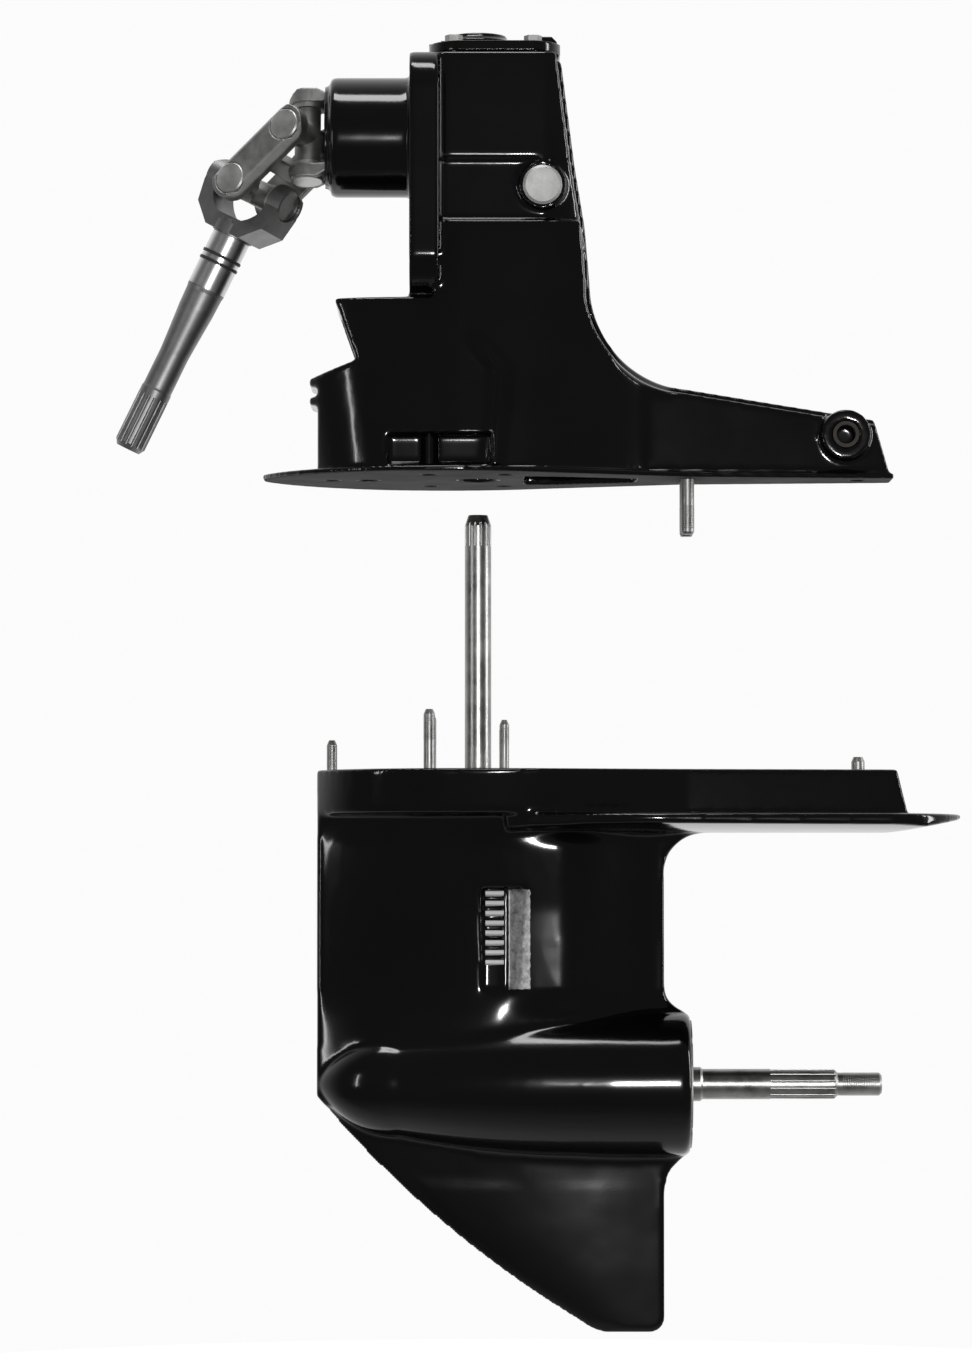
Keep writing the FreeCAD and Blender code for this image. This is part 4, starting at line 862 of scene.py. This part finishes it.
def thread_tree():
    """A thread ridge that winds up Z from the origin."""
    tree = new_tree("thread", {
        "Radius": NUMBER, "Length": NUMBER, "Pitch": NUMBER, "Finish": FINISH})
    given = add(tree, "NodeGroupInput").outputs
    join = tree.links.new
    helix = add(tree, "GeometryNodeCurveSpiral")
    helix.inputs["Resolution"].default_value = 20
    join(calculate(tree, "DIVIDE", given["Length"], given["Pitch"]), helix.inputs["Rotations"])
    join(given["Radius"], helix.inputs["Start Radius"])
    join(given["Radius"], helix.inputs["End Radius"])
    join(given["Length"], helix.inputs["Height"])
    ridge = add(tree, "GeometryNodeCurvePrimitiveCircle")
    ridge.inputs["Resolution"].default_value = 5
    join(calculate(tree, "MULTIPLY", given["Pitch"], 0.30), ridge.inputs["Radius"])
    swept = add(tree, "GeometryNodeCurveToMesh")
    swept.inputs["Fill Caps"].default_value = True
    join(helix.outputs["Curve"], swept.inputs["Curve"])
    join(ridge.outputs["Curve"], swept.inputs["Profile Curve"])
    finish_tree(tree, swept.outputs["Mesh"], given["Finish"])
    return tree


threads = thread_tree()
print("thread tree has", len(threads.nodes), "nodes")

# %% [markdown]
# ## Put the threads on
# The ridge sinks a little into the stud, so that no light shows between the two.  The helix grows up
# from the origin, and its mesh is then moved, so that the piece itself stays at the origin.

# %% Threads

RIDGE_SINK = 0.12
PROP_Z = -796.3
NOSE_STUD = ((-65.5, 0), 4.3, 2, 20, 1.25)
SIDE_STUDS = [((16.8, -61), 4.7, 24, 44, 1.5), ((79, -61), 3.9, 20, 35, 1.25),
              ((16.8, 61), 4.7, 24, 44, 1.5), ((79, 61), 3.9, 20, 35, 1.25)]


def thread(spot, radius, low, high, pitch, finish, lying=False):
    """One thread, standing on Z or lying along X, between two places along its axis."""
    piece = grow("thread", threads, {
        "Radius": (radius - RIDGE_SINK * pitch) * MM, "Length": (high - low) * MM, "Pitch": pitch * MM,
        "Finish": finish})
    if lying:
        laid = Matrix.Rotation(math.pi / 2, 4, "Y")
        piece.data.transform(Matrix.Translation(Vector((low, 0, spot)) * MM) @ laid)
    else:
        piece.data.transform(Matrix.Translation(Vector((spot[0], spot[1], low)) * MM))
    return piece


lower_threads = []
for spot, radius, low, high, pitch in [NOSE_STUD, *SIDE_STUDS]:
    lower_threads.append(thread(spot, radius, DECK_Z + low, DECK_Z + high, pitch, zinc_plate))
join_pieces("lower_stud_threads", lower_threads, "gearcase")
upper_threads = [thread((232.7, y), 5.6, -331, -312, 1.5, zinc_plate) for y in (-15, 15)]
join_pieces("upper_stud_threads", upper_threads, "upper_housing")
nut_thread = thread(PROP_Z, 9.6, 362, 392, 1.8, long_steel, lying=True)
join_pieces("propeller_nut_thread", [nut_thread], "propeller_shaft")

# %% [markdown]
# ## Forged yokes
# The yokes are drop forged: rounder than the castings, and left with the scale of the furnace.  The
# same remesh does it with a finer cell, because they are small and stand in the middle of the view.

# %% Soften the forgings

soften("centre_forging", "centre_yoke", 0.8 * MM, 6, 0.5, forged_steel, "centre_yoke")
soften("input_forging", "input_yoke", 0.8 * MM, 5, 0.5, forged_steel, "input_line")

# %% [markdown]
# ## A pale floor
# The drive hangs over a round piece of pale paper that catches its shadow.  Towards its rim the paper
# gives way to a glow of the room's own tone, so that no edge shows.  What the gloss paint mirrors in
# it is dim before the drive and pale behind it, as the room is.

# %% Floor

FLOOR_Z = CAD_BOX[0].z - 0.10
FLOOR_MIDDLE, FLOOR_RADIUS = Vector((0.10, 0.38, FLOOR_Z)), 0.85
PALE, DIM = 0.97, 0.12
FLOOR_GLOW, PAPER_TONE = 0.66, 0.6


def graded(finish, value, low, high, at_low, at_high, **settings):
    """A value carried from one range to another."""
    made = finish.node("ShaderNodeMapRange", **settings)
    finish.join(value, made.inputs["Value"])
    made.inputs["From Min"].default_value = low
    made.inputs["From Max"].default_value = high
    made.inputs["To Min"].default_value = at_low
    made.inputs["To Max"].default_value = at_high
    return made.outputs["Result"]


def studio_paper():
    """Paper that takes shadows and glows a little, the more so at its rim."""
    paper = Finish("studio_paper")
    path = paper.node("ShaderNodeLightPath").outputs
    spot = paper.node("ShaderNodeSeparateXYZ")
    paper.join(paper.place, spot.inputs["Vector"])
    mirror_glow = graded(paper, spot.outputs["Y"], -0.15, 0.55, DIM, PALE)
    reach = paper.node("ShaderNodeVectorMath", operation="DISTANCE")
    paper.join(paper.place, reach.inputs[0])
    reach.inputs[1].default_value = FLOOR_MIDDLE
    rim = graded(paper, reach.outputs["Value"], 0.45 * FLOOR_RADIUS, 0.98 * FLOOR_RADIUS, 0, 1,
                 interpolation_type="SMOOTHSTEP")
    paper.set(Base_Color=paper.ramp(rim, PAPER_TONE, 0.0), Roughness=0.9)
    own_glow = paper.math("ADD", paper.math("MULTIPLY", rim, PALE - FLOOR_GLOW), FLOOR_GLOW)
    mirrored = paper.math("MAXIMUM", path["Is Glossy Ray"], path["Is Transmission Ray"])
    glow = paper.node("ShaderNodeEmission")
    paper.join(paper.math("ADD", paper.math("MULTIPLY", path["Is Camera Ray"], own_glow),
                          paper.math("MULTIPLY", mirrored, mirror_glow)), glow.inputs["Strength"])
    both = paper.node("ShaderNodeAddShader")
    paper.join(paper.shader.outputs["BSDF"], both.inputs[0])
    paper.join(glow.outputs["Emission"], both.inputs[1])
    paper.join(both.outputs["Shader"], paper.tree.nodes["Material Output"].inputs["Surface"])
    return paper.material


def studio_floor():
    shape = bmesh.new()
    bmesh.ops.create_circle(shape, cap_ends=True, segments=96, radius=FLOOR_RADIUS,
                            matrix=Matrix.Translation(FLOOR_MIDDLE))
    mesh = bpy.data.meshes.new("studio_floor")
    shape.to_mesh(mesh)
    shape.free()
    mesh.materials.append(studio_paper())
    disc = bpy.data.objects.new("studio_floor", mesh)
    SCENE.collection.objects.link(disc)


studio_floor()
print("floor at", round(FLOOR_Z, 3))

# %% [markdown]
# ## A pale room
# Gloss black shows what is in front of it, so a studio keeps the camera's side of the room dark.
# The room is pale to the eye all round, but what the paint and the steel mirror is pale behind the
# drive and dim before it.  A light path tells a ray from the eye from one that a surface mirrors.

# %% Room


def studio_room():
    """A world that is pale to the camera, pale behind the drive and dim before it."""
    world = bpy.data.worlds.new("studio_room")
    world.use_nodes = True
    nodes, join = world.node_tree.nodes, world.node_tree.links.new
    way = nodes.new("ShaderNodeTexCoord")
    parts = nodes.new("ShaderNodeSeparateXYZ")
    behind = nodes.new("ShaderNodeMapRange")
    behind.interpolation_type = "SMOOTHSTEP"
    behind.inputs["From Min"].default_value = -0.2
    behind.inputs["From Max"].default_value = 0.7
    behind.inputs["To Min"].default_value = DIM
    behind.inputs["To Max"].default_value = PALE
    rays = nodes.new("ShaderNodeLightPath")
    mirrored = nodes.new("ShaderNodeMath")
    mirrored.operation = "MAXIMUM"
    mirror_light = nodes.new("ShaderNodeMix")
    mirror_light.inputs["A"].default_value = DIM
    eye_light = nodes.new("ShaderNodeMix")
    eye_light.inputs["B"].default_value = PALE
    join(way.outputs["Generated"], parts.inputs["Vector"])
    join(parts.outputs["Y"], behind.inputs["Value"])
    join(rays.outputs["Is Glossy Ray"], mirrored.inputs[0])
    join(rays.outputs["Is Transmission Ray"], mirrored.inputs[1])
    join(mirrored.outputs[0], mirror_light.inputs["Factor"])
    join(behind.outputs["Result"], mirror_light.inputs["B"])
    join(mirror_light.outputs["Result"], eye_light.inputs["A"])
    join(rays.outputs["Is Camera Ray"], eye_light.inputs["Factor"])
    join(eye_light.outputs["Result"], nodes["Background"].inputs["Strength"])
    nodes["Background"].inputs["Color"].default_value = (1, 1, 1, 1)
    return world


SCENE.world = studio_room()
print("room:", PALE, "to the eye,", DIM, "in front")

# %% [markdown]
# ## Lamps
# A small lamp beside the camera draws the narrow lights down the middle of the torpedo, the snout
# and the strut.  A strip on each side lights the edges that turn away, and a long box above the top
# faces.  The lamps are small, because a large one would turn the flat black walls grey.

# %% Lamps


def softbox(name, place, size, power):
    """A rectangular lamp that faces the middle of the drive."""
    light = bpy.data.lights.new(name, "AREA")
    light.shape = "RECTANGLE"
    light.size, light.size_y = size
    light.energy = power
    lamp = bpy.data.objects.new(name, light)
    lamp.location = place
    lamp.rotation_euler = (MIDDLE - Vector(place)).to_track_quat("-Z", "Y").to_euler()
    SCENE.collection.objects.link(lamp)


MIDDLE = Vector((0.0638, 0.0, -0.456))
softbox("front_box", (0.30, -4.7, -0.62), (0.34, 0.34), 85)
softbox("right_strip", (2.4, -0.25, -0.1), (0.25, 1.6), 24)
softbox("left_strip", (-2.4, -1.75, -0.35), (0.07, 1.3), 9)
softbox("top_box", (-0.2, -0.5, 2.0), (1.4, 0.5), 30)
print("lamps:", ", ".join(lamp.name for lamp in bpy.data.lights))

# %% [markdown]
# ## The camera
# A long lens from far off keeps the upright edges parallel, as a catalogue picture does.  It stands a
# little below the middle of the drive, so that the undersides of both plates just show.

# %% Camera

DISTANCE = 4.6
ELEVATION = math.radians(-2.5)
FRAME_HEIGHT = 1.139
eye = bpy.data.cameras.new("catalogue_camera")
eye.sensor_width = 36
eye.lens = eye.sensor_width * DISTANCE / FRAME_HEIGHT
viewer = bpy.data.objects.new("catalogue_camera", eye)
viewer.location = MIDDLE + Vector((0, -math.cos(ELEVATION), math.sin(ELEVATION))) * DISTANCE
viewer.rotation_euler = (MIDDLE - viewer.location).to_track_quat("-Z", "Y").to_euler()
SCENE.collection.objects.link(viewer)
SCENE.camera = viewer
SCENE.view_settings.view_transform = "Standard"
print("camera at", [round(v, 3) for v in viewer.location])
